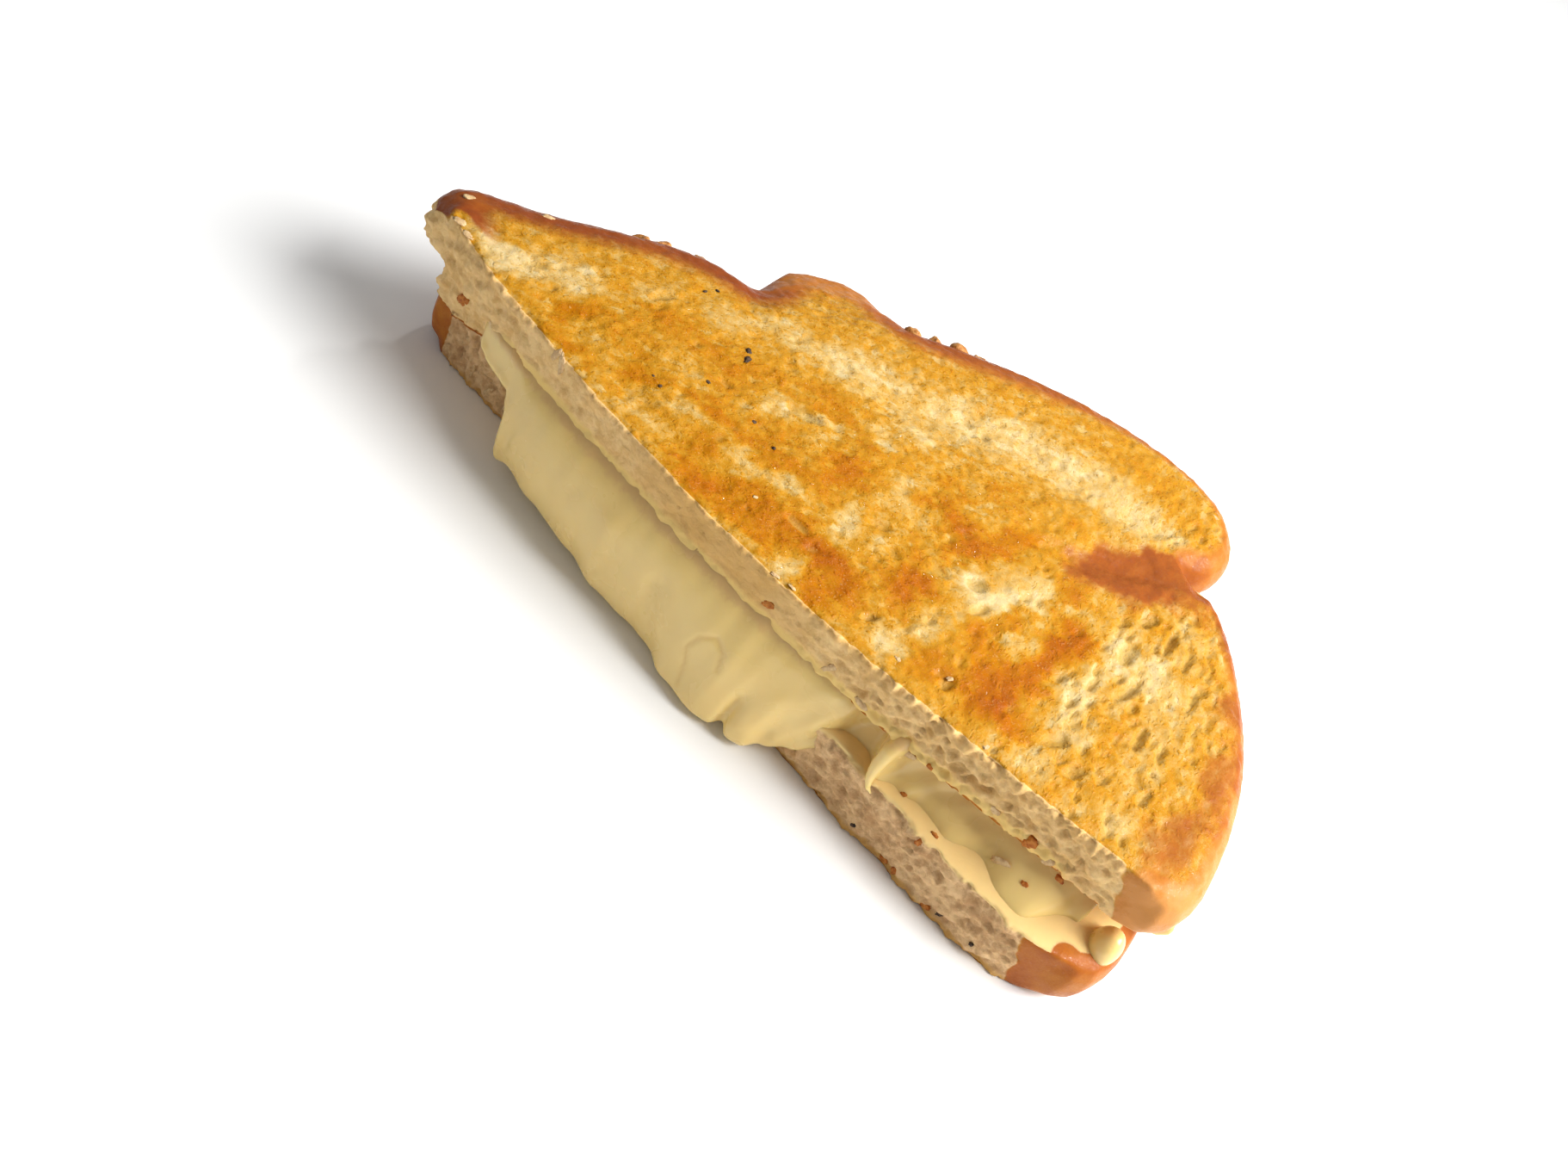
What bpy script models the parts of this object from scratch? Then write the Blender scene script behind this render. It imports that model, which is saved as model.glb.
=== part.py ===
"""Half of a grilled cheese sandwich, cut on the diagonal and lying on its bottom slice.

The half is three pieces: the bottom slice of bread, the melted cheese, and the top slice.
Each is a loft of closed rings: out from the middle of its underside, up its side, and in
again over its top. Every ring runs round the same outline: along the crust from the sharp
end of the cut to the blunt end, and back along the cut.

Frame: +X runs along the cut towards the blunt end, +Y from the cut to the crust, +Z up.
The origin is under the middle of the half, on the surface it rests on.
Lengths below are in millimetres and become metres where a mesh is made.
"""
import math

import bmesh
import bpy
from mathutils import Matrix, Vector

MM = 0.001
OBJECT_NAME = "grilled_cheese_half"

# Heights of the layers
BOTTOM_SLICE_TOP = 13.2
CHEESE_LOW = 13.5
CHEESE_TOP = 19.9
TOP_SLICE_LOW = 20.2
TOP_SLICE_TOP = 31.0
TOP_RISE_TO_BLUNT_END = 0.7

# The crust of the loaf, from the sharp end of the cut round to the blunt end
CRUST_PATH = (
    (-81.2, -0.8), (-84.2, 3.6), (-82.4, 9.2), (-73.6, 16.6), (-60.6, 30.8), (-51.2, 38.2),
    (-43.0, 41.2),                                     # dent in the pan side
    (-36.8, 47.0), (-22.8, 61.2), (-5.6, 74.8), (9.0, 83.6), (24.0, 89.0),
    (37.2, 90.8), (46.4, 87.6), (51.8, 79.2), (50.8, 70.8),
    (46.0, 65.6),                                      # notch between the two humps
    (52.8, 66.4), (61.8, 59.6), (72.4, 44.6), (78.2, 29.6), (80.6, 14.0), (79.8, 5.6), (76.6, 1.8),
)
CRUST_STEPS = 74
CUT_STEPS = 38
CURVE_SAMPLES = 24                                     # samples of the curve between two given points

# The cut faces bow outwards in plan
TOP_CUT_BOW = 7.4
TOP_CUT_BOW_MIDDLE = -8.0
BOTTOM_CUT_BOW = 4.4
BOTTOM_CUT_BOW_MIDDLE = 32.0
CUT_HALF_LENGTH = 76.0
CUT_END_STEPS = 3.0                                    # steps over which the bow fades out at each end

# The bottom slice is turned a little under the top one, about the sharp end
BOTTOM_TURN = math.radians(-3.0)
BOTTOM_SHIFT = (-0.6, 2.6)

# Crust side of a slice: (inset from the outline, share of the slice's height)
BOTTOM_SLICE_SIDE = ((5.0, 0.0), (2.2, 0.06), (0.5, 0.22), (0.0, 0.46), (0.2, 0.74), (1.2, 0.93), (3.4, 1.0))
TOP_SLICE_SIDE = ((3.0, 0.0), (0.9, 0.08), (0.0, 0.32), (0.1, 0.56), (1.2, 0.78), (3.2, 0.92), (6.4, 0.99))

# Rings over a flat face, as shares of the way from the middle to the last side ring
TOP_FACE_RINGS = (0.93, 0.82, 0.68, 0.5, 0.28)
HIDDEN_FACE_RINGS = (0.86, 0.55)

# A fold of crust that stands out beyond the dent, under the rim of the top slice
EAR_MIDDLE = (-32.0, 52.0)
EAR_HALF_LENGTH = 17.5
EAR_REACH = 11.0
EAR_TOP_SHARE = 0.86                                   # share of the slice's height where the fold ends
EAR_FULLNESS = 0.7                                     # below 1 makes the fold's section squarer
EAR_FOOT = 0.25                                        # reach left at the foot of the fold
EAR_STEEPNESS = 1.35

# Troughs in the toasted face: (start, end, half width, depth)
TROUGHS = (
    ((-12.0, 43.0), (38.0, 67.0), 5.5, 1.3),           # pale strip inside the crust ridge
    ((48.0, 63.5), (30.0, 44.0), 4.0, 1.6),            # crease that leads in from the notch
    ((-43.0, 40.4), (-38.0, 34.0), 3.0, 1.2),          # crease that leads in from the dent
)
CUT_EDGE_SAG = 1.5
CUT_EDGE_SAG_WIDTH = 16.0
CUT_EDGE_SAG_FADE = (12.0, 30.0)                       # x where the sag begins to fade, and over how far

# The cheese along the cut, at stations in x: lowest edge, how far it bulges out beyond the
# cut, and how far it draws back under the top slice
CHEESE_CUT_STATIONS = (
    # x,    low,  bulge, drawn back
    (-78.0, 12.4, 0.6, 3.0),
    (-58.0, 12.2, 0.8, 0.8),
    (-52.0, 10.5, 2.0, 0.3),
    (-49.0, 1.6, 4.0, 0.0),
    (-40.0, 0.9, 4.6, 0.0),
    (-28.0, 1.0, 4.8, 0.0),
    (-18.0, 0.7, 6.4, 0.0),
    (-8.0, 0.8, 6.8, 0.0),
    (1.0, 0.6, 9.8, 0.0),
    (7.5, 0.6, 10.4, 0.0),
    (10.5, 1.2, 8.6, 0.4),
    (14.5, 0.8, 8.8, 1.4),
    (19.0, 3.0, 4.6, 2.8),
    (24.0, 7.6, 1.8, 4.6),
    (31.0, 8.6, 1.4, 3.2),
    (35.0, 8.8, 1.6, 1.0),
    (39.5, 5.6, 1.2, 2.4),
    (50.0, 6.6, 1.0, 4.2),
    (58.0, 10.0, 0.8, 2.4),
    (66.0, 12.0, 0.6, 0.8),
    (77.0, 12.4, 0.6, 1.4),
)
CHEESE_CRUST_STEPS = 40
CHEESE_CUT_STEPS = 68
CHEESE_DROPS = (0.0, 0.1, 0.24, 0.4, 0.56, 0.72, 0.86, 0.96)
CHEESE_INSET = 3.6
CHEESE_INSET_WAVES = ((2.2, 5.0, 0.4), (1.3, 11.0, 1.9))   # (size, waves round the crust, phase)
CHEESE_BLOB_ANGLE = 0.965                              # share of the crust where a drop leaks out
CHEESE_BLOB_WIDTH = 0.045                              # share of the crust that the drop takes up
CHEESE_BLOB_REACH = 1.2
CHEESE_END_INSET = 1.5                                 # how far inside the crust the cheese meets the cut
CHEESE_END_FADE = 0.04                                 # share of the crust over which it gets there
CHEESE_SWELL = 1.6                                     # how far the edge swells out between the slices
CHEESE_FOOT = 0.8                                      # how far the edge tucks in under itself
CHEESE_BELLY_HEIGHT = 0.75                             # below 1 raises the fullest part of the bulge
CHEESE_BELLY_END = 0.84                                # share of the bulge's swing used down to its edge
CHEESE_DRAW_BACK_CURVE = 1.5
CHEESE_BACK_RISE = 0.5                                 # how far the back of the drape stands above its edge
CUT_OFFSET_LIMIT = 8.0                                 # most that one slice's cut stands behind the other's
GAP = 0.35
DRAPE_GAP = GAP * 1.3                                  # the drape's lowest edge stands a little further off

SHARP_ANGLE = math.radians(50)
BREAD_TOP_COLOUR = (0.62, 0.30, 0.07)
BREAD_BOTTOM_COLOUR = (0.50, 0.28, 0.12)
CHEESE_COLOUR = (0.72, 0.62, 0.34)
BREAD_BOTTOM_ROUGHNESS = 0.7
BREAD_TOP_ROUGHNESS = 0.5
CHEESE_ROUGHNESS = 0.35


def ease(value):
    """Smooth step of a value that is first held between 0 and 1."""
    value = min(max(value, 0.0), 1.0)
    return value * value * (3.0 - 2.0 * value)


def mix(low, high, share):
    """The value a share of the way from low to high."""
    return low + (high - low) * share


def curve_through(points, steps):
    """Evenly spaced points on a Catmull-Rom curve through the given ones."""
    padded = [points[0] * 2 - points[1], *points, points[-1] * 2 - points[-2]]
    dense = []
    for before, start, end, after in zip(padded, padded[1:], padded[2:], padded[3:]):
        for k in range(CURVE_SAMPLES):
            t = k / CURVE_SAMPLES
            dense.append(0.5 * (2 * start + (end - before) * t
                                + (2 * before - 5 * start + 4 * end - after) * t ** 2
                                + (3 * start - before - 3 * end + after) * t ** 3))
    dense.append(points[-1])
    travelled = [0.0]
    for start, end in zip(dense, dense[1:]):
        travelled.append(travelled[-1] + (end - start).length)
    path = []
    k = 0
    for step in range(steps + 1):
        wanted = travelled[-1] * step / steps
        while k < len(dense) - 2 and travelled[k + 1] < wanted:
            k += 1
        share = (wanted - travelled[k]) / max(travelled[k + 1] - travelled[k], 1e-9)
        path.append(dense[k].lerp(dense[k + 1], min(share, 1.0)))
    return path


def bowed_cut(start, end, bow, middle, steps):
    """The cut in plan, from start to end, without its two end points."""
    path = []
    for step in range(1, steps):
        point = start.lerp(end, step / steps)
        reach = min(abs(point.x - middle) / CUT_HALF_LENGTH, 1.0)
        ends = min(step, steps - step) / CUT_END_STEPS
        point.y -= bow * math.cos(math.pi / 2 * reach) * ease(ends)
        path.append(point)
    return path


def top_outline(crust_steps, cut_steps):
    """Closed outline of the top slice, anticlockwise: the cut, then the crust back."""
    crust = curve_through([Vector(point) for point in CRUST_PATH], crust_steps)
    cut = bowed_cut(crust[0], crust[-1], TOP_CUT_BOW, TOP_CUT_BOW_MIDDLE, cut_steps)
    return cut, crust[::-1]


def bottom_outline(crust_steps, cut_steps):
    """The same loaf outline, turned a little about its sharp end, with its own cut."""
    pivot = Vector(CRUST_PATH[0])
    turn = Matrix.Rotation(BOTTOM_TURN, 2)
    points = [pivot + turn @ (Vector(point) - pivot) + Vector(BOTTOM_SHIFT) for point in CRUST_PATH]
    crust = curve_through(points, crust_steps)
    cut = bowed_cut(crust[0], crust[-1], BOTTOM_CUT_BOW, BOTTOM_CUT_BOW_MIDDLE, cut_steps)
    return cut, crust[::-1]


class Outline:
    """A closed outline with outward normals and a weight: 1 on the crust, 0 on the cut."""

    def __init__(self, cut, crust):
        self.points = cut + crust
        count = len(self.points)
        self.count = count
        self.cut_count = len(cut)
        self.middle = sum(self.points, Vector((0.0, 0.0))) / count
        self.normals = []
        for i in range(count):
            along = self.points[(i + 1) % count] - self.points[i - 1]
            self.normals.append(Vector((along.y, -along.x)).normalized())
        self.crust = [0.0] * len(cut) + [1.0] * len(crust)

    def side_ring(self, inset, height, reach=None):
        """A ring at an inset from the crust; the cut keeps its line."""
        ring = []
        for point, normal, crust in zip(self.points, self.normals, self.crust):
            out = reach(point) - inset if reach else -inset
            plan = point + normal * out * crust
            ring.append(Vector((*plan, height)))
        return ring

    def shrunk(self, ring, share):
        """The ring drawn in towards the middle, at its own height."""
        return [Vector((*self.middle.lerp(point.xy, share), point.z)) for point in ring]

    def pole(self, height):
        return Vector((*self.middle, height))


def trough_depth(point):
    """How deep the troughs are under a point of the toasted face."""
    depth = 0.0
    for start, end, half_width, deep in TROUGHS:
        start = Vector(start)
        run = Vector(end) - start
        share = min(max((point - start).dot(run) / run.length_squared, 0.0), 1.0)
        away = (point - (start + run * share)).length / half_width
        depth += deep * ease(1.0 - away)
    return depth


def toasted_face(point):
    """Height of the top slice's face."""
    point = point.xy
    height = TOP_SLICE_TOP + TOP_RISE_TO_BLUNT_END * point.x / CUT_HALF_LENGTH
    cut_side = ease(1.0 - (point.y + TOP_CUT_BOW) / CUT_EDGE_SAG_WIDTH)
    middle = 1.0 - ease((point.x - CUT_EDGE_SAG_FADE[0]) / CUT_EDGE_SAG_FADE[1])
    height -= CUT_EDGE_SAG * cut_side * middle
    return height - trough_depth(point)


def ear_reach(share):
    """The fold's reach beyond the crust at a share of the slice's height."""
    fullness = math.sin(math.pi * min(share / EAR_TOP_SHARE, 1.0)) ** EAR_FULLNESS if share > 0 else EAR_FOOT

    def reach(point):
        along = (point - Vector(EAR_MIDDLE)).length / EAR_HALF_LENGTH
        return EAR_REACH * fullness * ease(EAR_STEEPNESS * (1.0 - along))
    return reach


def loft(name, rings, low_pole, high_pole, colour, roughness):
    """A closed solid through rings of equal count, with a pole in the middle of each end."""
    bm = bmesh.new()
    rows = [[bm.verts.new(point * MM) for point in ring] for ring in rings]
    for low, high in zip(rows, rows[1:]):
        for i in range(len(low)):
            j = (i + 1) % len(low)
            bm.faces.new((low[i], low[j], high[j], high[i]))
    low_vert = bm.verts.new(low_pole * MM)
    high_vert = bm.verts.new(high_pole * MM)
    for i in range(len(rows[0])):
        j = (i + 1) % len(rows[0])
        bm.faces.new((rows[0][j], rows[0][i], low_vert))
        bm.faces.new((rows[-1][i], rows[-1][j], high_vert))
    bmesh.ops.recalc_face_normals(bm, faces=bm.faces)
    bmesh.ops.triangulate(bm, faces=bm.faces)
    mesh = bpy.data.meshes.new(name)
    bm.to_mesh(mesh)
    bm.free()
    mesh.shade_smooth()
    mesh.set_sharp_from_angle(angle=SHARP_ANGLE)
    mesh.materials.append(finish(name, colour, roughness))
    return bpy.data.objects.new(name, mesh)


def finish(name, colour, roughness):
    """A plain Principled material in the piece's own colour."""
    material = bpy.data.materials.new(name + "_finish")
    material.use_nodes = True
    shader = material.node_tree.nodes["Principled BSDF"]
    shader.inputs["Base Color"].default_value = (*colour, 1.0)
    shader.inputs["Roughness"].default_value = roughness
    shader.inputs["Metallic"].default_value = 0.0
    return material


def bottom_slice():
    """The lower slice, flat on what it lies on, its bottom rim rounded."""
    outline = Outline(*bottom_outline(CRUST_STEPS, CUT_STEPS))
    sides = [outline.side_ring(inset, BOTTOM_SLICE_TOP * share) for inset, share in BOTTOM_SLICE_SIDE]
    rings = [outline.shrunk(sides[0], share) for share in HIDDEN_FACE_RINGS[::-1]]
    rings += sides
    rings += [outline.shrunk(sides[-1], share) for share in HIDDEN_FACE_RINGS]
    return loft("bottom_slice", rings, outline.pole(0.0), outline.pole(BOTTOM_SLICE_TOP),
                BREAD_BOTTOM_COLOUR, BREAD_BOTTOM_ROUGHNESS)


def top_slice():
    """The upper slice: a rounded crust rim, a square cut and a face with troughs."""
    outline = Outline(*top_outline(CRUST_STEPS, CUT_STEPS))
    sides = []
    for inset, share in TOP_SLICE_SIDE:
        ring = outline.side_ring(inset, TOP_SLICE_LOW, ear_reach(share))
        sides.append([Vector((*point.xy, mix(TOP_SLICE_LOW, toasted_face(point), share))) for point in ring])
    rings = [outline.shrunk(sides[0], share) for share in HIDDEN_FACE_RINGS[::-1]]
    rings += sides
    for share in TOP_FACE_RINGS:
        rings.append([Vector((*point.xy, toasted_face(point))) for point in outline.shrunk(sides[-1], share)])
    return loft("top_slice", rings, outline.pole(TOP_SLICE_LOW), outline.pole(toasted_face(outline.middle)),
                BREAD_TOP_COLOUR, BREAD_TOP_ROUGHNESS)


def cheese_station(x):
    """Lowest edge, bulge and draw-back of the cheese at a place along the cut."""
    stations = CHEESE_CUT_STATIONS
    if x <= stations[0][0]:
        return stations[0][1:]
    for before, after in zip(stations, stations[1:]):
        if x <= after[0]:
            share = ease((x - before[0]) / (after[0] - before[0]))
            return tuple(mix(a, b, share) for a, b in zip(before[1:], after[1:]))
    return stations[-1][1:]


def cheese():
    """The melted layer, which bulges out of the cut and hangs over the bottom slice."""
    top_cut, top_crust = top_outline(CHEESE_CRUST_STEPS, CHEESE_CUT_STEPS)
    low_cut, low_crust = bottom_outline(CHEESE_CRUST_STEPS, CHEESE_CUT_STEPS)
    top = Outline(top_cut, top_crust)
    low = Outline(low_cut, low_crust)
    last = top.count - top.cut_count - 1

    def crust_inset(i):
        """How far the cheese stops inside the crust, in slow waves, less where a drop leaks out."""
        share = 1.0 - (i - top.cut_count) / last
        inset = CHEESE_INSET
        for size, waves, phase in CHEESE_INSET_WAVES:
            inset += size * math.sin(2 * math.pi * waves * share + phase)
        leak = ease(1.0 - abs(share - CHEESE_BLOB_ANGLE) / CHEESE_BLOB_WIDTH)
        ends = ease(min(share, 1.0 - share) / CHEESE_END_FADE)
        return mix(CHEESE_END_INSET, inset, ends) - CHEESE_BLOB_REACH * leak

    def edge(i, drop):
        """A point of the cheese's edge; drop runs from 0 at the top slice to 1 at its lowest."""
        if i >= top.cut_count:
            inset = crust_inset(i)
            swell = CHEESE_SWELL * math.sin(math.pi * drop)
            base = top.points[i].lerp(low.points[i], drop)
            normal = top.normals[i]
            point = base - normal * (inset - swell)
            return Vector((point.x, point.y, mix(CHEESE_TOP, CHEESE_LOW, drop)))
        base = top.points[i]
        lowest, bulge, back = cheese_station(base.x)
        height = mix(CHEESE_TOP, lowest, drop)
        down = ease((CHEESE_TOP - height) / (CHEESE_TOP - BOTTOM_SLICE_TOP))
        y = mix(top.points[i].y, min(low.points[i].y, top.points[i].y + CUT_OFFSET_LIMIT), down)
        out = bulge * math.sin(math.pi * min(drop, 1.0) ** CHEESE_BELLY_HEIGHT * CHEESE_BELLY_END)
        out += DRAPE_GAP * drop
        out -= back * (1.0 - drop) ** CHEESE_DRAW_BACK_CURVE
        return Vector((base.x, y - out, height))

    def behind(i, share):
        """The back of the drape, from its lowest edge up the bottom slice's cut face."""
        if i >= top.cut_count:
            point = edge(i, 1.0)
            return point - top.normals[i].to_3d() * (CHEESE_FOOT * share)
        front = edge(i, 1.0)
        height = mix(front.z + CHEESE_BACK_RISE, CHEESE_LOW, share)
        return Vector((front.x, low.points[i].y - GAP, height))

    backs = [[behind(i, share) for i in range(top.count)] for share in (1.0, 0.5, 0.0)]
    fronts = [[edge(i, drop) for i in range(top.count)] for drop in CHEESE_DROPS[::-1]]
    rings = [top.shrunk(backs[0], share) for share in HIDDEN_FACE_RINGS[::-1]]
    rings += backs + fronts
    rings += [top.shrunk(fronts[-1], share) for share in HIDDEN_FACE_RINGS]
    return loft("cheese", rings, top.pole(CHEESE_LOW), top.pole(CHEESE_TOP), CHEESE_COLOUR, CHEESE_ROUGHNESS)


def stand_over_origin(parts):
    """Move the meshes so that the half stands centred over the origin, on z = 0."""
    corners = [vert.co for part in parts for vert in part.data.vertices]
    low = Vector([min(corner[axis] for corner in corners) for axis in range(3)])
    high = Vector([max(corner[axis] for corner in corners) for axis in range(3)])
    shift = Vector((-(low.x + high.x) / 2, -(low.y + high.y) / 2, -low.z))
    for part in parts:
        part.data.transform(Matrix.Translation(shift))


def main():
    for old in list(bpy.data.objects):
        bpy.data.objects.remove(old, do_unlink=True)
    collection = bpy.data.collections.new(OBJECT_NAME)
    bpy.context.scene.collection.children.link(collection)
    parts = [bottom_slice(), cheese(), top_slice()]
    stand_over_origin(parts)
    for part in parts:
        collection.objects.link(part)


main()
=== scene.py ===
"""Half of a grilled cheese sandwich, ready to look at: two buttered and toasted slices, the cheese
that melts out of the cut, and the crumbs, pepper and torn flakes on them.

Lengths are in millimetres, measured from the middle of the cut, until a mesh is written in metres.
"""
import math

import bmesh
import bpy
import numpy as np
from bpy.props import (
    FloatProperty, FloatVectorProperty, IntProperty, PointerProperty,
)
from mathutils import Matrix, Vector, kdtree, noise


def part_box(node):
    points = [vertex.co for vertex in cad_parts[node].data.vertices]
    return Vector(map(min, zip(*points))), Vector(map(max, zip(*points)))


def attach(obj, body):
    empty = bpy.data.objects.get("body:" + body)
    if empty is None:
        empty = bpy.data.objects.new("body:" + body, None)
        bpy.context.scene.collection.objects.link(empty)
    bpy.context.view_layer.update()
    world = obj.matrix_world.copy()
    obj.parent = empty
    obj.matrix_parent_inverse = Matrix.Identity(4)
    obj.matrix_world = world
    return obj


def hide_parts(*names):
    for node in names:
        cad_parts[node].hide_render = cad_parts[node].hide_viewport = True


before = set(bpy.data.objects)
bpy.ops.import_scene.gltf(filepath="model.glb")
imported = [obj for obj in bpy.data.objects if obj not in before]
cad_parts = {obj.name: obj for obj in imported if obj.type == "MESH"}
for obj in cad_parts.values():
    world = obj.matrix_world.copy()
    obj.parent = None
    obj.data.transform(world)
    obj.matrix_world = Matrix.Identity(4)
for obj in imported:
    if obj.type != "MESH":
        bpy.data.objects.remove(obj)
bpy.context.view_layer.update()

bl_info = {
    "name": "Grilled Cheese Half",
    "version": (1, 0, 0),
    "blender": (4, 5, 0),
    "location": "3D View > Sidebar > Sandwich",
    "description": "Builds the toasted slices, melted cheese and crumbs of half a grilled cheese sandwich",
    "category": "Add Mesh",
}

BODY = "root"
MM = 0.001
CUT_MIDDLE = np.array((0.832, -37.56, 0.0))      # where the middle of the cut lies in the part's frame
TOAST_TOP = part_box("top_slice")[1].z / MM
SLICE_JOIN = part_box("top_slice")[0].z / MM

# Soft oval spots on the toasted face: (x, y, half length, half width, turn in degrees, strength).
# A strength above zero browns the bread and one below zero leaves it pale.
PAN_SPOTS = (
    (-68, 1, 6, 2.6, 0, -0.9), (-62, 4, 5, 3, 20, -0.7), (-57, 9, 5, 3.4, 10, -0.7), (-53, 3.5, 3.5, 3, 60, 0.75),
    (-46, -2.6, 5, 2, 0, 0.6), (-38, 3, 3, 3, 30, 0.75), (-49, 18, 3.5, 2.4, 60, -0.45), (-42, 17, 7, 3.4, 12, 0.6),
    (-30, 18, 6, 4, -10, 0.5), (-26, 8.6, 7, 2.4, 9, 0.75), (-27, 24, 6, 3, 12, 0.35), (-46, 8, 8, 4, 0, 0.25),
    (-38, 27, 4.6, 3.2, 15, -0.5), (-30, 35, 7, 4, 25, -0.5), (-20, 41, 8, 4.4, 35, -0.6), (-21, 18.6, 4, 2, 15, -0.55),
    (-17, 23, 5, 2, 22, -0.6), (-22, 2, 3, 3, 0, 0.6), (-17, -3.6, 8, 2.8, 4, 1.1), (-28, 5.4, 4, 2, 20, -0.5),
    (-31, -2, 4, 2, 20, -0.4), (-12, 11.6, 8, 2.4, 14, 0.7), (-15, 5, 3.6, 2, 10, -0.5), (-9, 8.4, 4, 1.8, 0, -0.6),
    (-18, 15, 4, 3, 40, 0.45), (-5, 20, 4.6, 5.6, 0, 0.95), (-9, 29, 12, 2.4, 5, 0.45), (-17, 31, 5, 2.6, 20, 0.3),
    (-12, 26, 4, 1.6, 10, -0.35), (-6, 2.4, 9, 3.2, 8, 1.05), (-4, -2.4, 5, 1.8, 4, 0.7), (3, 5.6, 4, 3, 0, 0.8),
    (8, 2.4, 5.4, 4.4, 0, 1.15), (5.4, -3.4, 2.2, 4, 70, 0.9), (1.4, -3, 3, 3.4, 80, -1.1), (2, 11.4, 5, 2, -50, -0.8),
    (-2.8, 40, 3.4, 2.2, 0, -0.8), (-5, 33.6, 4, 2, 5, -0.5), (3.4, 29, 4, 2.8, 40, -0.6), (6, 24, 4, 3, 20, -0.3),
    (8, 36, 4, 2.4, 0, 0.5), (13, 30, 8, 3.4, 6, 0.95), (17, 24.4, 2.8, 5.6, 10, 0.9), (10, 14, 3, 2.4, 0, -0.6),
    (15, 13, 6, 4.6, -20, 0.85), (16, 8.6, 3, 5, 10, 0.8), (12, 4, 3, 2, 0, -0.3), (17.4, 19, 2.4, 3, 0, -0.25),
    (21.6, 36, 2.8, 7, -14, 0.85), (21.6, 22.4, 3.6, 3.4, 0, -1.3), (25.6, 20, 2, 5, -20, -0.7), (22, 9, 2.4, 5, 0, -0.6),
    (19.4, 0.4, 3, 4, 10, -0.9), (27, 2, 4.4, 4, 0, 0.7), (30, 13, 4, 6, 30, 0.85), (31, 22, 2, 3, 0, 0.7),
    (29.4, 29, 3, 8.4, -22, -0.95), (34, 20, 2, 7, -10, -0.5), (24, 30, 3, 3, 0, -0.3), (33.6, 38, 4.4, 3.6, 0, 0.7),
    (38.4, 17, 3.4, 12, -4, 1.25), (40.4, 29, 3.6, 6, 0, 1.2), (35.4, 6, 4.6, 5.4, 0, 1.05), (33.4, 29, 2, 3.4, 0, 0.5),
    (41, 5.6, 4.6, 3.4, 0, 0.75), (39, 35, 2.4, 3, 0, -0.6), (47, 38, 4, 6, -14, -0.75), (52.4, 36, 2.6, 9, -8, -0.9),
    (46, 24, 3, 12, -5, -0.85), (57, 36, 2.6, 7, -10, -0.6), (50, 14, 3, 4, -20, -0.5), (54, 24, 2.4, 8, -8, 0.3),
    (48.6, 41, 4, 1.8, 0, 0.6), (61, 32, 3, 8, -8, -0.3), (47, 3, 4, 3, 10, -0.7), (62, 6, 6, 3, 0, -0.5),
    (14, 44, 6, 3, 30, 0.3), (25, 46, 6, 5, 45, 0.1), (27, 51, 4, 2, 60, 0.5), (10, 40, 6, 2.6, 20, -0.2),
    (52, 8, 3, 5, -15, 0.2), (50, 52, 4, 3, 0, -0.4), (56.4, 50, 2.4, 5, -10, -0.2), (60, 18, 3, 6, -6, -0.4),
)
# The pale dip that runs beside the far crust, and the darker bread on its far bank
DIP_SPOTS = (
    (-16, 41, 7, 5, 40, 0.55), (-6, 46, 8, 6.4, 46, 0.85), (3, 53.6, 9, 6.6, 42, 1.0), (13, 60, 9, 6, 30, 1.0),
    (24, 64.4, 9, 6, 18, 1.05), (34, 64.6, 7, 5.4, 0, 1.05), (39, 68, 4, 3, 0, 0.6), (29, 54, 5, 4, 40, 0.35),
)
BANK_SPOTS = (
    (18, 73, 11, 4.6, 22, 0.8), (31, 76, 10, 5.6, 8, 1.0), (40, 75, 4, 6, 0, 0.6), (4, 66, 8, 3.6, 34, 0.5),
)
# Open pits in the toasted face: (x, y, half length, half width, turn in degrees, depth)
OPEN_PITS = (
    (-17, 23, 3.4, 1.5, 22, 0.9), (-2.6, 4.2, 2.6, 1.2, 8, 0.6), (15.2, 1.3, 1.7, 0.7, 60, 1.1), (17, 18.8, 1.9, 1.6, 0, 0.6),
    (22.6, 22.4, 2.2, 1.6, 40, 0.8), (26, 19, 2.4, 0.9, 74, 0.8), (29.6, 28.6, 2.2, 0.9, 70, 0.8), (10.2, 14.4, 1.4, 1.2, 0, 0.5),
    (5.4, 17, 2.4, 1.0, 30, 0.5), (-47.4, 20, 2.4, 1.2, 65, 0.5), (-62.6, 4.6, 1.8, 1.0, 30, 0.6), (-28.6, 15.4, 1.4, 0.8, 20, 0.5),
    (22, 9, 1.3, 0.8, 60, 0.6), (30.4, 2.4, 1.8, 1.2, 80, 0.6), (46.8, 46.2, 2.6, 1.3, 68, 1.3), (51.8, 46, 4.4, 0.9, 96, 1.2),
    (46.8, 54.6, 2.0, 1.2, 100, 1.0), (52.6, 55, 1.8, 0.9, 100, 0.9), (56, 45, 3.6, 0.9, 98, 1.0), (47.6, 36, 3.6, 1.6, 92, 1.0),
    (51.6, 30, 4.0, 1.2, 80, 1.1), (46.6, 24.6, 2.4, 0.9, 84, 0.9), (60.4, 40, 3.0, 0.8, 102, 0.9), (48, 10, 2.8, 1.5, 60, 1.0),
    (53, 7.6, 2.6, 1.3, 64, 1.0), (46, 18, 2.0, 0.8, 80, 0.9), (57.6, 23, 3.4, 0.9, 96, 1.0), (61.6, 24, 2.6, 0.8, 100, 0.8),
    (63.6, 14, 2.4, 0.9, 84, 0.9), (43.8, 40.6, 2.2, 0.8, 60, 0.8), (57, 10.6, 1.8, 0.8, 70, 0.8), (-2.4, 33.6, 1.4, 0.7, 10, 0.4),
)
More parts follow.
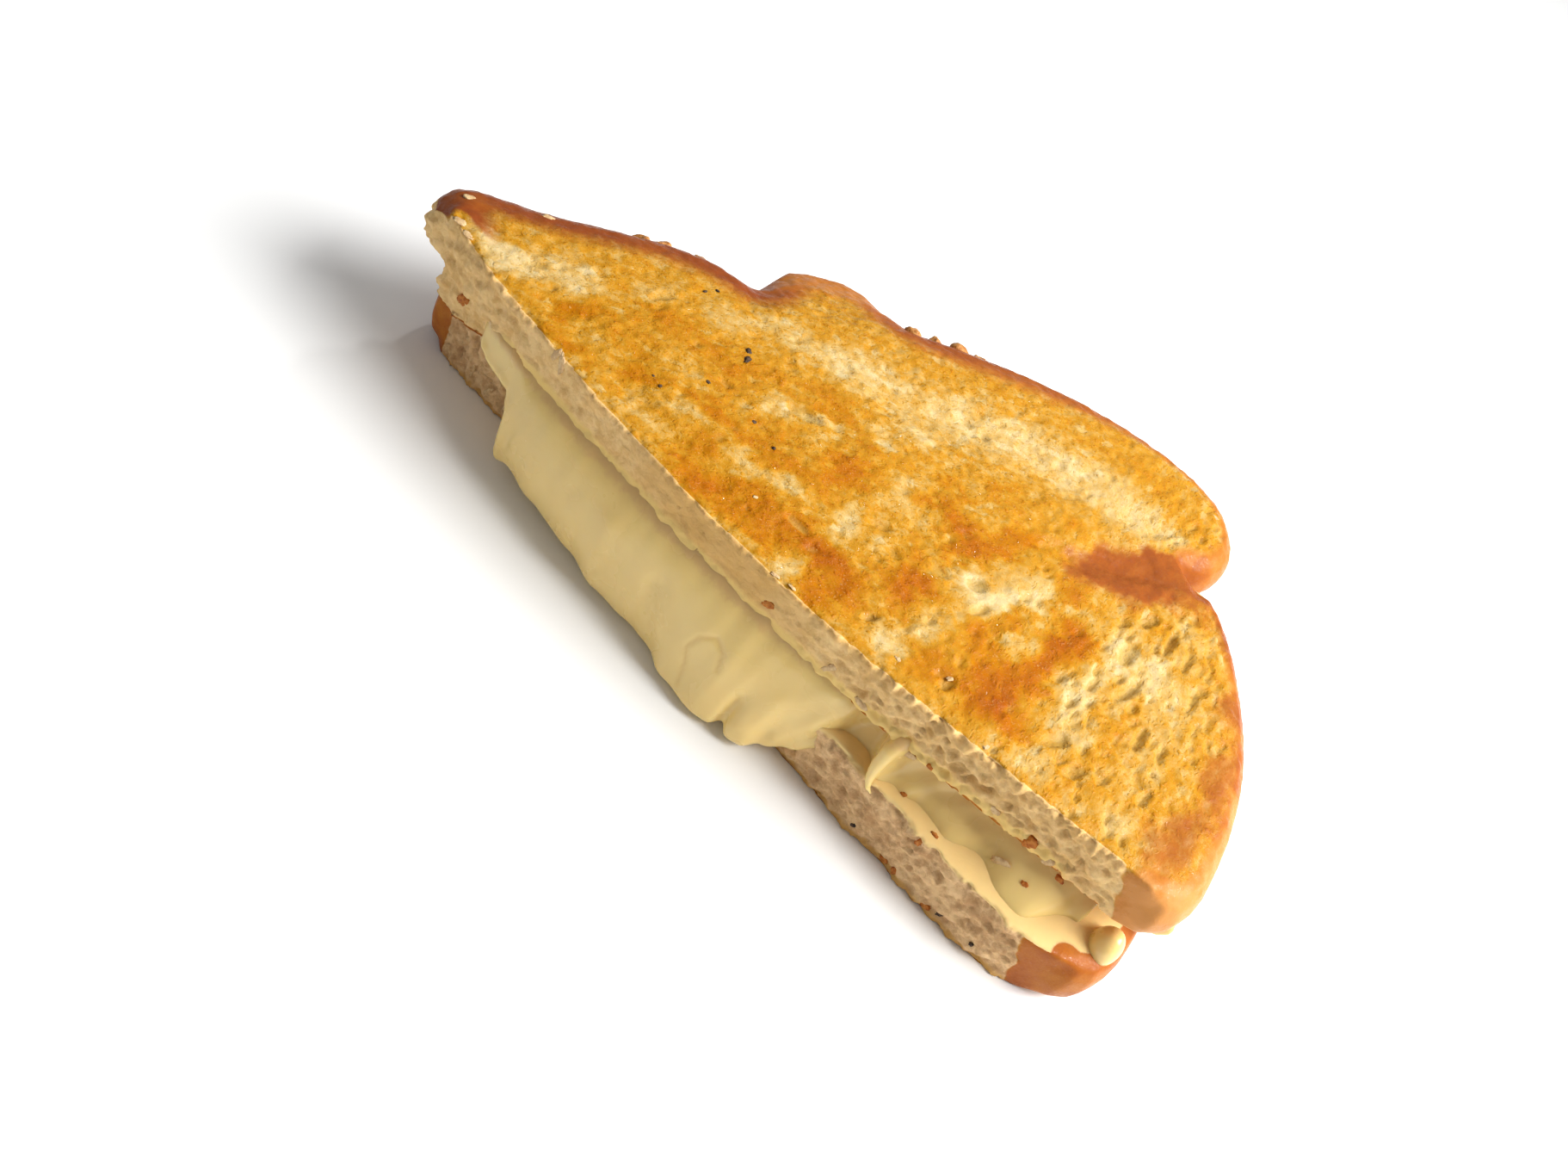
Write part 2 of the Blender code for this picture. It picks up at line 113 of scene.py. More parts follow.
# Dark red-brown crust that folds in from the notch, and red patches on the blunt end's rim
FOLD_SPOTS = (
    (38, 53.4, 8, 5.6, 62, 1.0), (33, 44.6, 5.4, 4.4, 55, 0.8), (42, 59.6, 5, 3.6, 40, 0.9), (45.6, 66, 5, 2.2, 55, 0.8),
    (49, 61.6, 5, 2.4, 8, 0.7), (36, 37, 4, 2.6, 0, 0.35), (45, 55, 6.5, 5, 60, 0.8), (41, 48, 6, 5, 70, 0.6),
    (53, 58, 6, 4, -30, 0.5),
)
RED_SPOTS = (
    (67, 45, 4, 8, -22, 1.0), (71, 33, 4.4, 8, -10, 1.0), (73, 22, 3.6, 7, -5, 0.8), (71.4, 9, 4.4, 8.4, -5, 1.0),
    (60, 57, 7, 4, -40, 0.9), (66, 12, 3, 5, -30, 0.5), (-40, 35.6, 2.6, 5, 20, 0.9), (-70, 9, 8, 4, 45, 0.8), (-62, 19, 8, 3, 48, 0.6),
    (-50, 32, 7, 3, 35, 0.5),
)


def ease(value, low, high):
    """A smooth step from 0 at low to 1 at high, which may lie either way round."""
    share = np.clip((value - low) / (high - low), 0.0, 1.0)
    return share * share * (3.0 - 2.0 * share)


def lumps(points, size, detail=3, seed=0.0):
    """Smooth random values of about -1 to 1, in lumps of the given size."""
    scaled = points / np.asarray(size, float) + 17.3 * seed
    return np.array([noise.fractal(Vector(p), 1.0, 2.0, detail) for p in scaled.tolist()])


def cover(x, y, spots):
    """How strongly soft oval spots cover each point."""
    total = np.zeros_like(x)
    for middle_x, middle_y, half_length, half_width, turn, strength in spots:
        cosine, sine = math.cos(math.radians(turn)), math.sin(math.radians(turn))
        along = ((x - middle_x) * cosine + (y - middle_y) * sine) / half_length
        across = ((y - middle_y) * cosine - (x - middle_x) * sine) / half_width
        total += strength * np.exp(-((along ** 2 + across ** 2) ** 1.5))
    return total


def stations(x, table, column):
    """A smooth curve through the values that a table gives at stations along the cut."""
    places = [row[0] for row in table]
    index = np.clip(np.searchsorted(places, x) - 1, 0, len(places) - 2)
    before = np.array(places)[index]
    after = np.array(places)[index + 1]
    values = np.array([row[column] for row in table])
    share = ease(x, before, after)
    return values[index] * (1.0 - share) + values[index + 1] * share


def cut_line(node, low, high):
    """Where the cut face of a CAD node runs between two heights, as a function from x to y."""
    points = np.array([vertex.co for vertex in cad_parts[node].data.vertices]) / MM - CUT_MIDDLE
    points = points[(points[:, 2] > low) & (points[:, 2] < high) & (points[:, 1] < 12.0)]
    steps, edge = [], []
    for step in np.arange(-76.0, 76.1, 2.0):
        near = points[np.abs(points[:, 0] - step) < 3.0]
        if len(near):
            steps.append(step)
            edge.append(near[:, 1].min())
    return lambda x: np.interp(x, steps, edge)


def gap_to(points, others):
    """How far each point is, in plan, from the nearest of the others."""
    apart = np.unique(np.round(others[:, :2], 1), axis=0)
    tree = kdtree.KDTree(len(apart))
    for index, (x, y) in enumerate(apart.tolist()):
        tree.insert((x, y, 0.0), index)
    tree.balance()
    return np.array([tree.find((x, y, 0.0))[2] for x, y, _ in points.tolist()])


def pit_depth(across, along, pits):
    """How deep each point lies in oval pits, and how far up their rims, from its two coordinates.

    A pit is (x, y, half length, half width, turn in degrees, depth), in the order of the coordinates.
    """
    order = np.argsort(across)
    a, b = across[order], along[order]
    depth = np.zeros_like(a)
    for middle_a, middle_b, half_length, half_width, turn, deep in pits:
        reach = 1.6 * half_length
        first, last = np.searchsorted(a, (middle_a - reach, middle_a + reach))
        cosine, sine = math.cos(math.radians(turn)), math.sin(math.radians(turn))
        da, db = a[first:last] - middle_a, b[first:last] - middle_b
        out = np.hypot((da * cosine + db * sine) / half_length, (db * cosine - da * sine) / half_width)
        bowl = np.clip(1.0 - out ** 2, 0.0, 1.0) ** 0.7
        rim = 0.16 * np.exp(-((out - 1.2) / 0.22) ** 2)
        depth[first:last] = np.where(bowl > 0.0, np.maximum(depth[first:last], deep * bowl),
                                     np.where(depth[first:last] > 0.0, depth[first:last], -deep * rim))
    result = np.empty_like(depth)
    result[order] = depth
    return result


class Skin:
    """The vertices of a fine mesh in millimetres from the middle of the cut, to be sculpted and painted."""

    def __init__(self, piece):
        self.mesh = piece.data
        count = len(self.mesh.vertices)
        flat = np.empty(count * 3, np.float32)
        self.mesh.vertices.foreach_get("co", flat)
        self.at = flat.reshape(-1, 3).astype(float) / MM - CUT_MIDDLE
        self.refresh()

    def refresh(self):
        """Measures which way each vertex faces."""
        flat = np.empty(len(self.at) * 3, np.float32)
        self.mesh.vertex_normals.foreach_get("vector", flat)
        self.facing = flat.reshape(-1, 3).astype(float)

    def push(self, distance, direction=None):
        """Moves each vertex outwards, or along a direction, and measures again."""
        self.at += distance[:, None] * (self.facing if direction is None else np.asarray(direction, float))
        flat = ((self.at + CUT_MIDDLE) * MM).astype(np.float32).ravel()
        self.mesh.vertices.foreach_set("co", flat)
        self.mesh.update()
        self.refresh()

    def paint(self, name, values):
        """Stores one number for each vertex, for the materials to read."""
        layer = self.mesh.attributes.new(name, "FLOAT", "POINT")
        layer.data.foreach_set("value", np.asarray(values, np.float32))


def new_piece(name, mesh, material):
    """A finished piece that rides on the sandwich, with the material it is given."""
    piece = bpy.data.objects.new(name, mesh)
    bpy.context.scene.collection.objects.link(piece)
    mesh.materials.clear()
    mesh.materials.append(material)
    for face in mesh.polygons:
        face.use_smooth = True
    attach(piece, BODY)
    return piece


def whole_copy(node):
    """A CAD node's shape as a closed shell, with its loose triangles merged."""
    shell = bmesh.new()
    shell.from_mesh(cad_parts[node].data)
    bmesh.ops.remove_doubles(shell, verts=shell.verts, dist=0.01 * MM)
    return shell


def close_grained(shell, name, grain, smoothing):
    """Turns a shell into a mesh of even, fine faces, with what overlaps in it melted together."""
    mesh = bpy.data.meshes.new(name)
    shell.to_mesh(mesh)
    shell.free()
    rough = bpy.data.objects.new(name, mesh)
    bpy.context.scene.collection.objects.link(rough)
    remesh = rough.modifiers.new("Even faces", "REMESH")
    remesh.mode = "VOXEL"
    remesh.voxel_size = grain
    smooth = rough.modifiers.new("No facets", "SMOOTH")
    smooth.factor = 0.5
    smooth.iterations = smoothing
    fine = bpy.data.meshes.new_from_object(rough.evaluated_get(bpy.context.evaluated_depsgraph_get()))
    bpy.data.objects.remove(rough)
    bpy.data.meshes.remove(mesh)
    fine.name = name
    return fine


def merge_hidden(mesh, hidden):
    """Makes few faces of those whose vertices all lie out of sight inside the sandwich."""
    shell = bmesh.new()
    shell.from_mesh(mesh)
    faces = [face for face in shell.faces if all(hidden[vertex.index] for vertex in face.verts)]
    bmesh.ops.dissolve_faces(shell, faces=faces, use_verts=True)
    bmesh.ops.triangulate(shell, faces=[face for face in shell.faces if len(face.verts) > 4])
    shell.to_mesh(mesh)
    shell.free()


class Wire:
    """An output of a material's node, which can stand in sums."""

    def __init__(self, finish, socket):
        self.finish = finish
        self.socket = socket

    def _sum(self, operation, first, second):
        return self.finish.node("Math", {"operation": operation}, {0: first, 1: second})

    def __add__(self, other):
        return self._sum("ADD", self, other)

    def __sub__(self, other):
        return self._sum("SUBTRACT", self, other)

    def __rsub__(self, other):
        return self._sum("SUBTRACT", other, self)

    def __mul__(self, other):
        return self._sum("MULTIPLY", self, other)

    def __pow__(self, other):
        return self._sum("POWER", self, other)

    __radd__ = __add__
    __rmul__ = __mul__


class Finish:
    """A procedural material, built from nodes."""

    def __init__(self, name):
        self.material = bpy.data.materials.new(name)
        self.material.use_nodes = True
        self.tree = self.material.node_tree
        self.tree.nodes.clear()
        place = self.node("TexCoord", output="Object")
        self.place = self.node("VectorMath", {"operation": "SCALE"}, {0: place, "Scale": 1.0 / MM})

    def node(self, kind, settings=(), inputs=(), output=0):
        """Adds a node: its settings first, then the values or links of its sockets."""
        node = self.tree.nodes.new("ShaderNode" + kind)
        for key, value in dict(settings).items():
            if key == "stops":
                self._set_stops(node.color_ramp.elements, value)
            else:
                setattr(node, key, value)
        for key, value in dict(inputs).items():
            if isinstance(value, Wire):
                self.tree.links.new(value.socket, node.inputs[key])
            else:
                node.inputs[key].default_value = value
        return Wire(self, node.outputs[output]) if len(node.outputs) else node

    @staticmethod
    def _set_stops(elements, stops):
        while len(elements) < len(stops):
            elements.new(1.0)
        for element, (position, colour) in zip(elements, stops):
            element.position = position
            element.color = (*colour, 1.0)

    def painted(self, name):
        """A number that was stored on the piece."""
        return self.node("Attribute", {"attribute_name": name}, output="Fac")

    def height(self):
        """How far up the sandwich a point is, in millimetres."""
        return self.node("SeparateXYZ", (), {0: self.place}, output="Z")

    def stretched(self, turn, stretch, where=None):
        """Coordinates turned about the vertical and stretched, so that a pattern runs along them."""
        return self.node("Mapping", {"vector_type": "POINT"}, {
            "Vector": self.node("VectorRotate", {"rotation_type": "Z_AXIS"},
                                {"Vector": where or self.place, "Angle": -math.radians(turn)}),
            "Scale": stretch,
        })

    def clouds(self, size, detail=4.0, rough=0.6, where=None, warp=0.0):
        """Soft random values of 0 to 1, in clouds of the given size."""
        return self.node("TexNoise", {"normalize": True}, {
            "Vector": where or self.place, "Scale": 1.0 / size, "Detail": detail, "Roughness": rough,
            "Distortion": warp,
        })

    def cells(self, size, where=None, feature="F1", output="Distance", smooth=None):
        """Random cells of the given size, as the distance from their middles."""
        inputs = {"Vector": where or self.place, "Scale": 1.0 / size}
        if smooth is not None:
            inputs["Smoothness"] = smooth
        return self.node("TexVoronoi", {"feature": feature}, inputs, output=output)

    def step(self, value, low, high, bottom=0.0, top=1.0):
        """A smooth step between two values."""
        return self.node("MapRange", {"interpolation_type": "SMOOTHSTEP"}, {
            "Value": value, "From Min": low, "From Max": high, "To Min": bottom, "To Max": top,
        })

    def blend(self, share, first, second, kind="MIX"):
        """One colour over another."""
        first = first if isinstance(first, Wire) else (*first, 1.0)
        second = second if isinstance(second, Wire) else (*second, 1.0)
        return self.node("Mix", {"data_type": "RGBA", "blend_type": kind, "clamp_factor": True},
                         {0: share, 6: first, 7: second}, output=2)

    def ramp(self, value, stops):
        """A colour for each value from 0 to 1."""
        return self.node("ValToRGB", {"stops": stops}, {"Fac": value}, output="Color")

    def bump(self, height, depth, strength=1.0, under=None):
        """A normal for fine relief of the given depth in millimetres."""
        inputs = {"Height": height, "Distance": depth * MM, "Strength": strength}
        if under is not None:
            inputs["Normal"] = under
        return self.node("Bump", (), inputs, output="Normal")

    def shade(self, **sockets):
        """Ends the material in its shader."""
        shader = self.node("BsdfPrincipled", (), {
            key.replace("_", " ").title().replace("Ior", "IOR"): value for key, value in sockets.items()
        })
        self.tree.links.new(shader.socket, self.tree.nodes.new("ShaderNodeOutputMaterial").inputs["Surface"])
        return self.material


def bread_finish(name, toast_stops, crust_stops, crumb, tan, soaked):
    """Buttered toast on its face, baked crust round its rim and soft crumb on its cut, with painted glints on the toast
    and painted shade in the crumb's pores.
    """
    finish = Finish(name)
    level = finish.painted("level")
    crust = finish.painted("crust")
    bake = finish.painted("bake")
    cut = finish.painted("cut")
    pit = finish.painted("pit")
    lobe = finish.painted("lobe")
    soak = finish.painted("soak")
    amber = finish.painted("amber")

    wobble = finish.node("TexNoise", (), {"Vector": finish.place, "Scale": 1.0 / 1.3, "Detail": 2.0}, output="Color")
    bent = finish.node("VectorMath", {"operation": "MULTIPLY_ADD"}, {0: wobble, 1: (1.5, 1.5, 1.5), 2: finish.place})
    slant = finish.stretched(32, (0.6, 1.0, 1.0), bent)
    upright = finish.stretched(88, (0.45, 1.0, 1.0), bent)

    def both(maker):
        """A pattern that runs aslant on most of the face and upright near the blunt end."""
        return finish.node("Mix", {"data_type": "FLOAT"}, {0: lobe, 2: maker(slant), 3: maker(upright)})

    mottle = both(lambda where: finish.clouds(2.1, 7.0, 0.72, where))
    pores = both(lambda where: finish.cells(2.6, where, "SMOOTH_F1", smooth=0.25))
    grains = both(lambda where: finish.cells(0.7, where, "F1"))
    fine = finish.clouds(0.36, 4.0, 0.65)
    broad = finish.clouds(6.0, 4.0, 0.6)

    hollow = finish.step(pores + (mottle - 0.5) * 0.5, 0.36, 0.14)
    blotch = finish.step(mottle, 0.32, 0.68) - 0.5
    tone = (level - 0.12 + blotch * 0.75 + (broad - 0.5) * 0.5 + (fine - 0.5) * 1.1
            - finish.step(grains, 0.1, 0.5) * 0.3 - hollow * 0.4)
    toast = finish.ramp(tone * 0.3 + 0.45, toast_stops)
    toast = finish.blend(finish.step(pit, 0.2, 0.9) * 0.6, toast, (0.46, 0.28, 0.06))
    # Painted highlight: tiny glints of butter lighten the toast's colour in fine specks.
    painted_glint = finish.step(fine, 0.58, 0.72) * finish.step(mottle, 0.4, 0.6)
    toast = finish.blend(painted_glint * 0.65, toast, (0.8, 0.52, 0.16))

    crust_tone = bake + (mottle - 0.5) * 0.45 + (fine - 0.5) * 0.25 + (broad - 0.5) * 0.4
    baked = finish.ramp(crust_tone, crust_stops)
    face = finish.blend(finish.step(crust + (mottle - 0.5) * 0.5, 0.15, 0.8), toast, baked)

    flat = finish.stretched(0, (0.5, 0.8, 1.2), bent)
    holes = finish.cells(1.3, flat, "SMOOTH_F1", smooth=0.5)
    chalk = finish.clouds(1.6, 6.0, 0.7, bent)
    inside = finish.blend(finish.step(chalk * 0.6 + broad * 0.4, 0.38, 0.6), tan, crumb)
    # Painted shade: the crumb's pores and torn holes on the cut are darkened to six tenths of the tan.
    inside = finish.blend(finish.step(holes, 0.34, 0.12) * (lobe * 0.2 + 0.06), inside, tuple(0.6 * c for c in tan))
    inside = finish.blend(finish.step(pit, 0.1, 0.9) * (lobe * 0.2 + 0.15), inside, tuple(0.6 * c for c in tan))
    inside = finish.blend(finish.step(amber + (chalk - 0.5) * 0.8, 0.2, 0.9) * 0.8, inside, (0.62, 0.33, 0.07))
    inside = finish.blend(finish.step(soak + (chalk - 0.5) * 0.9, 0.2, 0.85), inside, soaked)
    base = finish.blend(finish.step(cut + (mottle - 0.5) * 0.5, 0.35, 0.6), face, inside)

    relief = mottle * 0.22 - finish.step(grains, 0.0, 0.5) * 0.2 + fine * 0.26 - hollow * 0.14
    crumbly = finish.clouds(0.7, 5.0, 0.65, bent) * 0.45 + holes * 0.4 + fine * 0.08
    calm = 1.0 - finish.step(crust, 0.3, 0.9) * 0.8
    amount = finish.node("Mix", {"data_type": "FLOAT"}, {0: cut, 2: relief * calm, 3: crumbly * (1.0 - soak * 0.7)})
    normal = finish.bump(amount, 0.4)
    gloss = finish.step(fine, 0.35, 0.65, 0.2, 0.4) + finish.step(crust, 0.3, 0.8) * 0.1 + cut * 0.3
    butter = finish.step(finish.clouds(0.3, 2.0, 0.5), 0.64, 0.72) * (1.0 - cut) * 0.8
    return finish.shade(base_color=base, roughness=gloss, normal=normal, subsurface_weight=0.1,
                        subsurface_radius=(1.0, 0.4, 0.1), subsurface_scale=1.0 * MM,
                        specular_ior_level=0.1, coat_weight=butter, coat_roughness=0.12)


def cheese_finish():
    """Melted cheese, smooth and a little see-through."""
    finish = Finish("melted cheese")
    broad = finish.clouds(9.0, 3.0, 0.5)
    cloudy = finish.clouds(2.5, 4.0, 0.6)
    base = finish.blend(broad, (0.86, 0.64, 0.25), (0.8, 0.56, 0.19))
    crumbed = finish.painted("crumbed") + (finish.clouds(1.6, 6.0, 0.7) - 0.5) * 1.2
    base = finish.blend(finish.step(crumbed, 0.3, 1.0) * 0.8, base, (0.72, 0.45, 0.19))
    # Painted shade: the creases are darkened to a deeper amber.
    base = finish.blend(finish.painted("crease") * 0.35, base, (0.66, 0.4, 0.1))
    normal = finish.bump(cloudy, 0.05)
    gloss = finish.step(broad, 0.3, 0.7, 0.22, 0.3)
    return finish.shade(base_color=base, roughness=gloss, normal=normal, subsurface_weight=0.3,
                        subsurface_radius=(1.0, 0.7, 0.35), subsurface_scale=2.5 * MM, specular_ior_level=0.5)


class SliceSettings(bpy.types.PropertyGroup):
    """How finely the bread is made."""

    grain: FloatProperty(name="Grain", description="Edge length of the bread's faces",
                         default=0.45 * MM, min=0.2 * MM, max=2 * MM, unit="LENGTH", precision=5)


class CheeseSettings(bpy.types.PropertyGroup):
    """How finely the cheese is made."""

    grain: FloatProperty(name="Grain", description="Edge length of the cheese's faces",
                         default=0.45 * MM, min=0.2 * MM, max=2 * MM, unit="LENGTH", precision=5)


class StageSettings(bpy.types.PropertyGroup):
    """The camera, the floor and the lights."""

    azimuth: FloatProperty(name="Azimuth", description="How far the camera is round from the cut",
                           default=math.radians(11.5), subtype="ANGLE")
    elevation: FloatProperty(name="Elevation", description="How far the camera looks down",
                             default=math.radians(47.1), subtype="ANGLE")
    roll: FloatProperty(name="Roll", description="How far the camera is turned about its line of sight",
                        default=math.radians(36.8), subtype="ANGLE")
    distance: FloatProperty(name="Distance", description="From the camera to what it looks at",
                            default=222.7 * MM, unit="LENGTH")
    target: FloatVectorProperty(name="Target", description="What the camera looks at",
                                default=(1.923 * MM, -31.651 * MM, 16.364 * MM), subtype="TRANSLATION")
    lens: FloatProperty(name="Lens", description="Focal length", default=31.61, unit="CAMERA")
    floor_colour: FloatVectorProperty(name="Floor", description="Colour of the floor", subtype="COLOR",
                                      default=(0.93, 0.93, 0.92), min=0.0, max=1.0)


TOAST_STOPS = (
    (0.0, (0.66, 0.5, 0.24)), (0.2, (0.58, 0.36, 0.1)), (0.38, (0.52, 0.24, 0.012)),
    (0.56, (0.46, 0.165, 0.001)), (0.76, (0.41, 0.115, 0.0005)), (1.0, (0.33, 0.075, 0.0005)),
)
CRUST_STOPS = (
    (0.0, (0.6, 0.26, 0.07)), (0.3, (0.48, 0.165, 0.022)), (0.6, (0.38, 0.105, 0.014)), (1.0, (0.25, 0.055, 0.01)),
)


class SANDWICH_OT_top_slice(bpy.types.Operator):
    """Adds the toasted top slice"""

    bl_idname = "sandwich.top_slice"
    bl_label = "Top Slice"

    def execute(self, context):
        shell = whole_copy("top_slice")
        add_pinched_crumb(shell, cut_line("top_slice", 19.0, 24.0))
        mesh = close_grained(shell, "toasted_top_slice", context.scene.sandwich_slices.grain, 14)
        finish = bread_finish("toasted top slice", TOAST_STOPS, CRUST_STOPS,
                              (0.88, 0.6, 0.27), (0.7, 0.43, 0.16), (0.82, 0.57, 0.2))
        piece = new_piece("toasted_top_slice", mesh, finish)
        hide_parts("top_slice")
        sculpt_top_slice(Skin(piece))
        return {"FINISHED"}


def put_in(shell, other):
    """Moves the closed shape in one bmesh into another."""
    mesh = bpy.data.meshes.new("moved shape")
    other.to_mesh(mesh)
    other.free()
    shell.from_mesh(mesh)
    bpy.data.meshes.remove(mesh)


def add_pinched_crumb(shell, edge):
    """Adds the torn crumb that closes the sandwich at the sharp end, between the slices."""
    block = bmesh.new()
    bmesh.ops.create_cube(block, size=1.0)
    bmesh.ops.subdivide_edges(block, edges=block.edges[:], cuts=7, use_grid_fill=True)
    for vertex in block.verts:
        along, across, up = (part + 0.5 for part in vertex.co)
        x = -76.4 + 17.0 * along
        y = float(edge(x)) + 0.9 * along + 6.0 * across
        z = 13.4 + 4.0 * along ** 2 + (10.0 - 4.0 * along ** 2) * up
        vertex.co = (Vector((x, y, z)) + Vector(CUT_MIDDLE)) * MM
    put_in(shell, block)


def side_points(skin, cut):
    """The vertices on the upright sides: those of the cut, or those of the crust."""
    x, y, z = skin.at.T
    upright = np.abs(skin.facing[:, 2]) < 0.45
    on_cut = (skin.facing[:, 1] < -0.75) & (np.abs(x) < 77.0) & (y < 8.0)
    return upright & (on_cut if cut else ~on_cut)


def streak_turn(x):
    """Which way the bread's pores run, in degrees: aslant, and upright near the blunt end."""
    return 32.0 + 52.0 * ease(x, 8.0, 34.0) + 14.0 * ease(x, 44.0, 70.0)


def scatter_pits(seed, count, x, y, lengths, slimness, depths):
    """Pits in random places among the given points, each along the streaks of the bread."""
    chance = np.random.default_rng(seed)
    chosen = chance.integers(0, len(x), count)
    half_length = chance.uniform(*lengths, count)
    return list(zip(
        x[chosen], y[chosen], half_length, half_length * chance.uniform(*slimness, count),
        streak_turn(x[chosen]) + chance.normal(0.0, 14.0, count), chance.uniform(*depths, count),
    ))


def sculpt_top_slice(skin):
    """Gives the top slice its toasted face, its crust and its torn cut."""
    x, y, z = skin.at.T.copy()
    up = skin.facing[:, 2]
    at = skin.at.copy()
    from_cut = gap_to(at, at[side_points(skin, True)])
    from_crust = gap_to(at, at[side_points(skin, False) & (z > 22.5)])

    wander_x = x + 2.0 * lumps(at, 4.0, 4, 1.0)
    wander_y = y + 2.0 * lumps(at, 4.0, 4, 2.0)
    dip = cover(wander_x, wander_y, DIP_SPOTS)
    bank = cover(wander_x, wander_y, BANK_SPOTS)
    fold = cover(wander_x, wander_y, FOLD_SPOTS)
    red = cover(wander_x, wander_y, RED_SPOTS)
    level = 0.15 + cover(wander_x, wander_y, PAN_SPOTS) - 0.6 * dip + 0.1 * bank
    lobe = ease(x + 3.0 * lumps(at, 9.0, 2, 3.0), 18.0, 34.0)

    face = ease(up, 0.45, 0.8) * ease(z, 25.0, 27.0)
    cut = ease(skin.facing[:, 1], -0.45, -0.7) * ease(np.abs(x), 78.0, 76.0) * ease(y, 8.0, 4.0)
    torn_end = ease(x, -71.0, -73.0) * ease(y, 8.0, 4.0) * ease(z, 29.0, 27.0) * ease(up, 0.6, 0.3)
    cut = np.maximum(cut, torn_end) * ease(x + 0.5 * (z - 26.0) + 1.5 * lumps(at, 4.0, 2, 12.0), 71.0, 68.0)
    band = (5.0 + 4.5 * ease(x, 30.0, 0.0)) 
    # Painted highlight: the bread over the raised ear of the slice is made paler.
    ear_highlight = ease(np.hypot(x + 32.0, y - 52.0), 16.0, 9.0) * ease(z, 29.5, 27.5)
    crust = 1.0 - ease(from_crust, 0.15 * band, 1.3 * band) * ease(up, -0.2, 0.5)
    crust *= 1.0 - 0.9 * ease(from_cut, 3.4, 1.6) * ease(x, -50.0, -62.0) * ease(z, 27.0, 29.0) * ease(x, -79.0, -76.0)
    crust = np.maximum(crust, ease(x, -70.0, -78.0) * ease(from_cut, 1.5, 3.5))
    crust = np.maximum(crust, 0.8 * np.clip(fold, 0.0, 1.0))
    crust = np.maximum(crust, 0.62 * np.clip(red, 0.0, 1.0) * ease(x, 50.0, 60.0))
    crust *= 1.0 - cut
    # Less bake over the ear is a painted highlight.
    bake = (0.32 + 0.3 * ease(x, 35.0, -20.0) + 0.05 * ease(x, -50.0, -74.0) + 0.6 * np.clip(red, 0, 1)
            + 0.5 * np.clip(fold, 0, 1) + 0.28 * ease(from_crust, 8.0, 2.0) * ease(x, 44.0, 24.0)
            - 0.22 * ease(x, 50.0, 78.0) - 0.5 * ear_highlight - 0.4 * ease(x, 66.0, 70.0) * ease(y, 10.0, 4.0))

    on_face = (face > 0.9) & (crust < 0.6)
    blunt = on_face & (x > 41.0) & (x < 69.0)
    pits = scatter_pits(11, 260, x[on_face], y[on_face], (0.6, 1.5), (0.45, 0.8), (0.15, 0.45))
    pits += scatter_pits(12, 150, x[blunt], y[blunt], (0.7, 1.9), (0.3, 0.5), (0.35, 0.8))
    pits += list(OPEN_PITS)
    sunk = pit_depth(x + 0.35 * lumps(at, 1.2, 2, 8.0), y + 0.35 * lumps(at, 1.2, 2, 9.0), pits) * face * (1 - crust)

    bumps = 0.3 * lumps(at, 7.0, 3, 4.0) + 0.26 * lumps(at, 1.5, 3, 5.0)
    clumps = ease(x, 8.0, 30.0)
    ragged = (0.22 + 0.6 * clumps + 0.5 * ease(x, -44.0, -62.0)) * lumps(at, (2.2, 2.2, 1.5), 4, 6.0) + 0.3 * lumps(at, (5.0, 3.0, 3.0), 2, 7.0)
    on_cut = (cut > 0.8) & (z > 21.5)
    holes = scatter_pits(13, 260, x[on_cut], z[on_cut], (0.5, 1.5), (0.4, 0.8), (0.3, 0.9))
    holes = [(a, b, length, width, chance_turn(index), deep * (0.35 + 0.65 * float(ease(a, 5.0, 30.0))))
             for index, (a, b, length, width, _, deep) in enumerate(holes)]
    torn = pit_depth(x + 0.3 * lumps(at, 1.2, 2, 8.0), z, holes) * cut
    lip = cut * ease(z, 27.5, 30.0) * (0.9 * lumps(at, (1.1, 9.0, 9.0), 3, 10.0) + 0.3)
    skin.push(-0.6 * cut * ease(z, 21.4, 20.2))
    skin.push(0.8 * ease(from_cut, 6.0, 1.0) * ease(z, 26.0, 30.0) * ease(x, 40.0, 10.0), (0.0, 0.0, 1.0))
    skin.push(bumps * (face * (1.0 - 0.75 * crust) + 0.2 * crust) + cut * ragged + lip - sunk - torn)

    skin.paint("level", level)
    skin.paint("crust", crust)
    skin.paint("bake", bake)
    skin.paint("cut", cut)
    skin.paint("pit", np.clip(np.maximum(sunk, torn) / 0.7, 0.0, 1.0))
    skin.paint("lobe", lobe)
    skin.paint("soak", ease(z, 24.6, 21.6) * cut * ease(x, -62.0, -54.0) * ease(x, 66.0, 60.0))
    amber = np.maximum(ease(z, 27.4, 30.4) * (1.0 - 0.6 * clumps), 0.55 * ease(np.abs(x + 8.0), 30.0, 8.0))
    skin.paint("amber", amber * cut)
    merge_hidden(skin.mesh, (up < -0.9) & (from_cut > 5.0) & (from_crust > 5.0))


def chance_turn(index):
    """A pore's turn on the cut, which differs from pore to pore but stays nearly level."""
    return 25.0 * math.sin(12.9 * index)


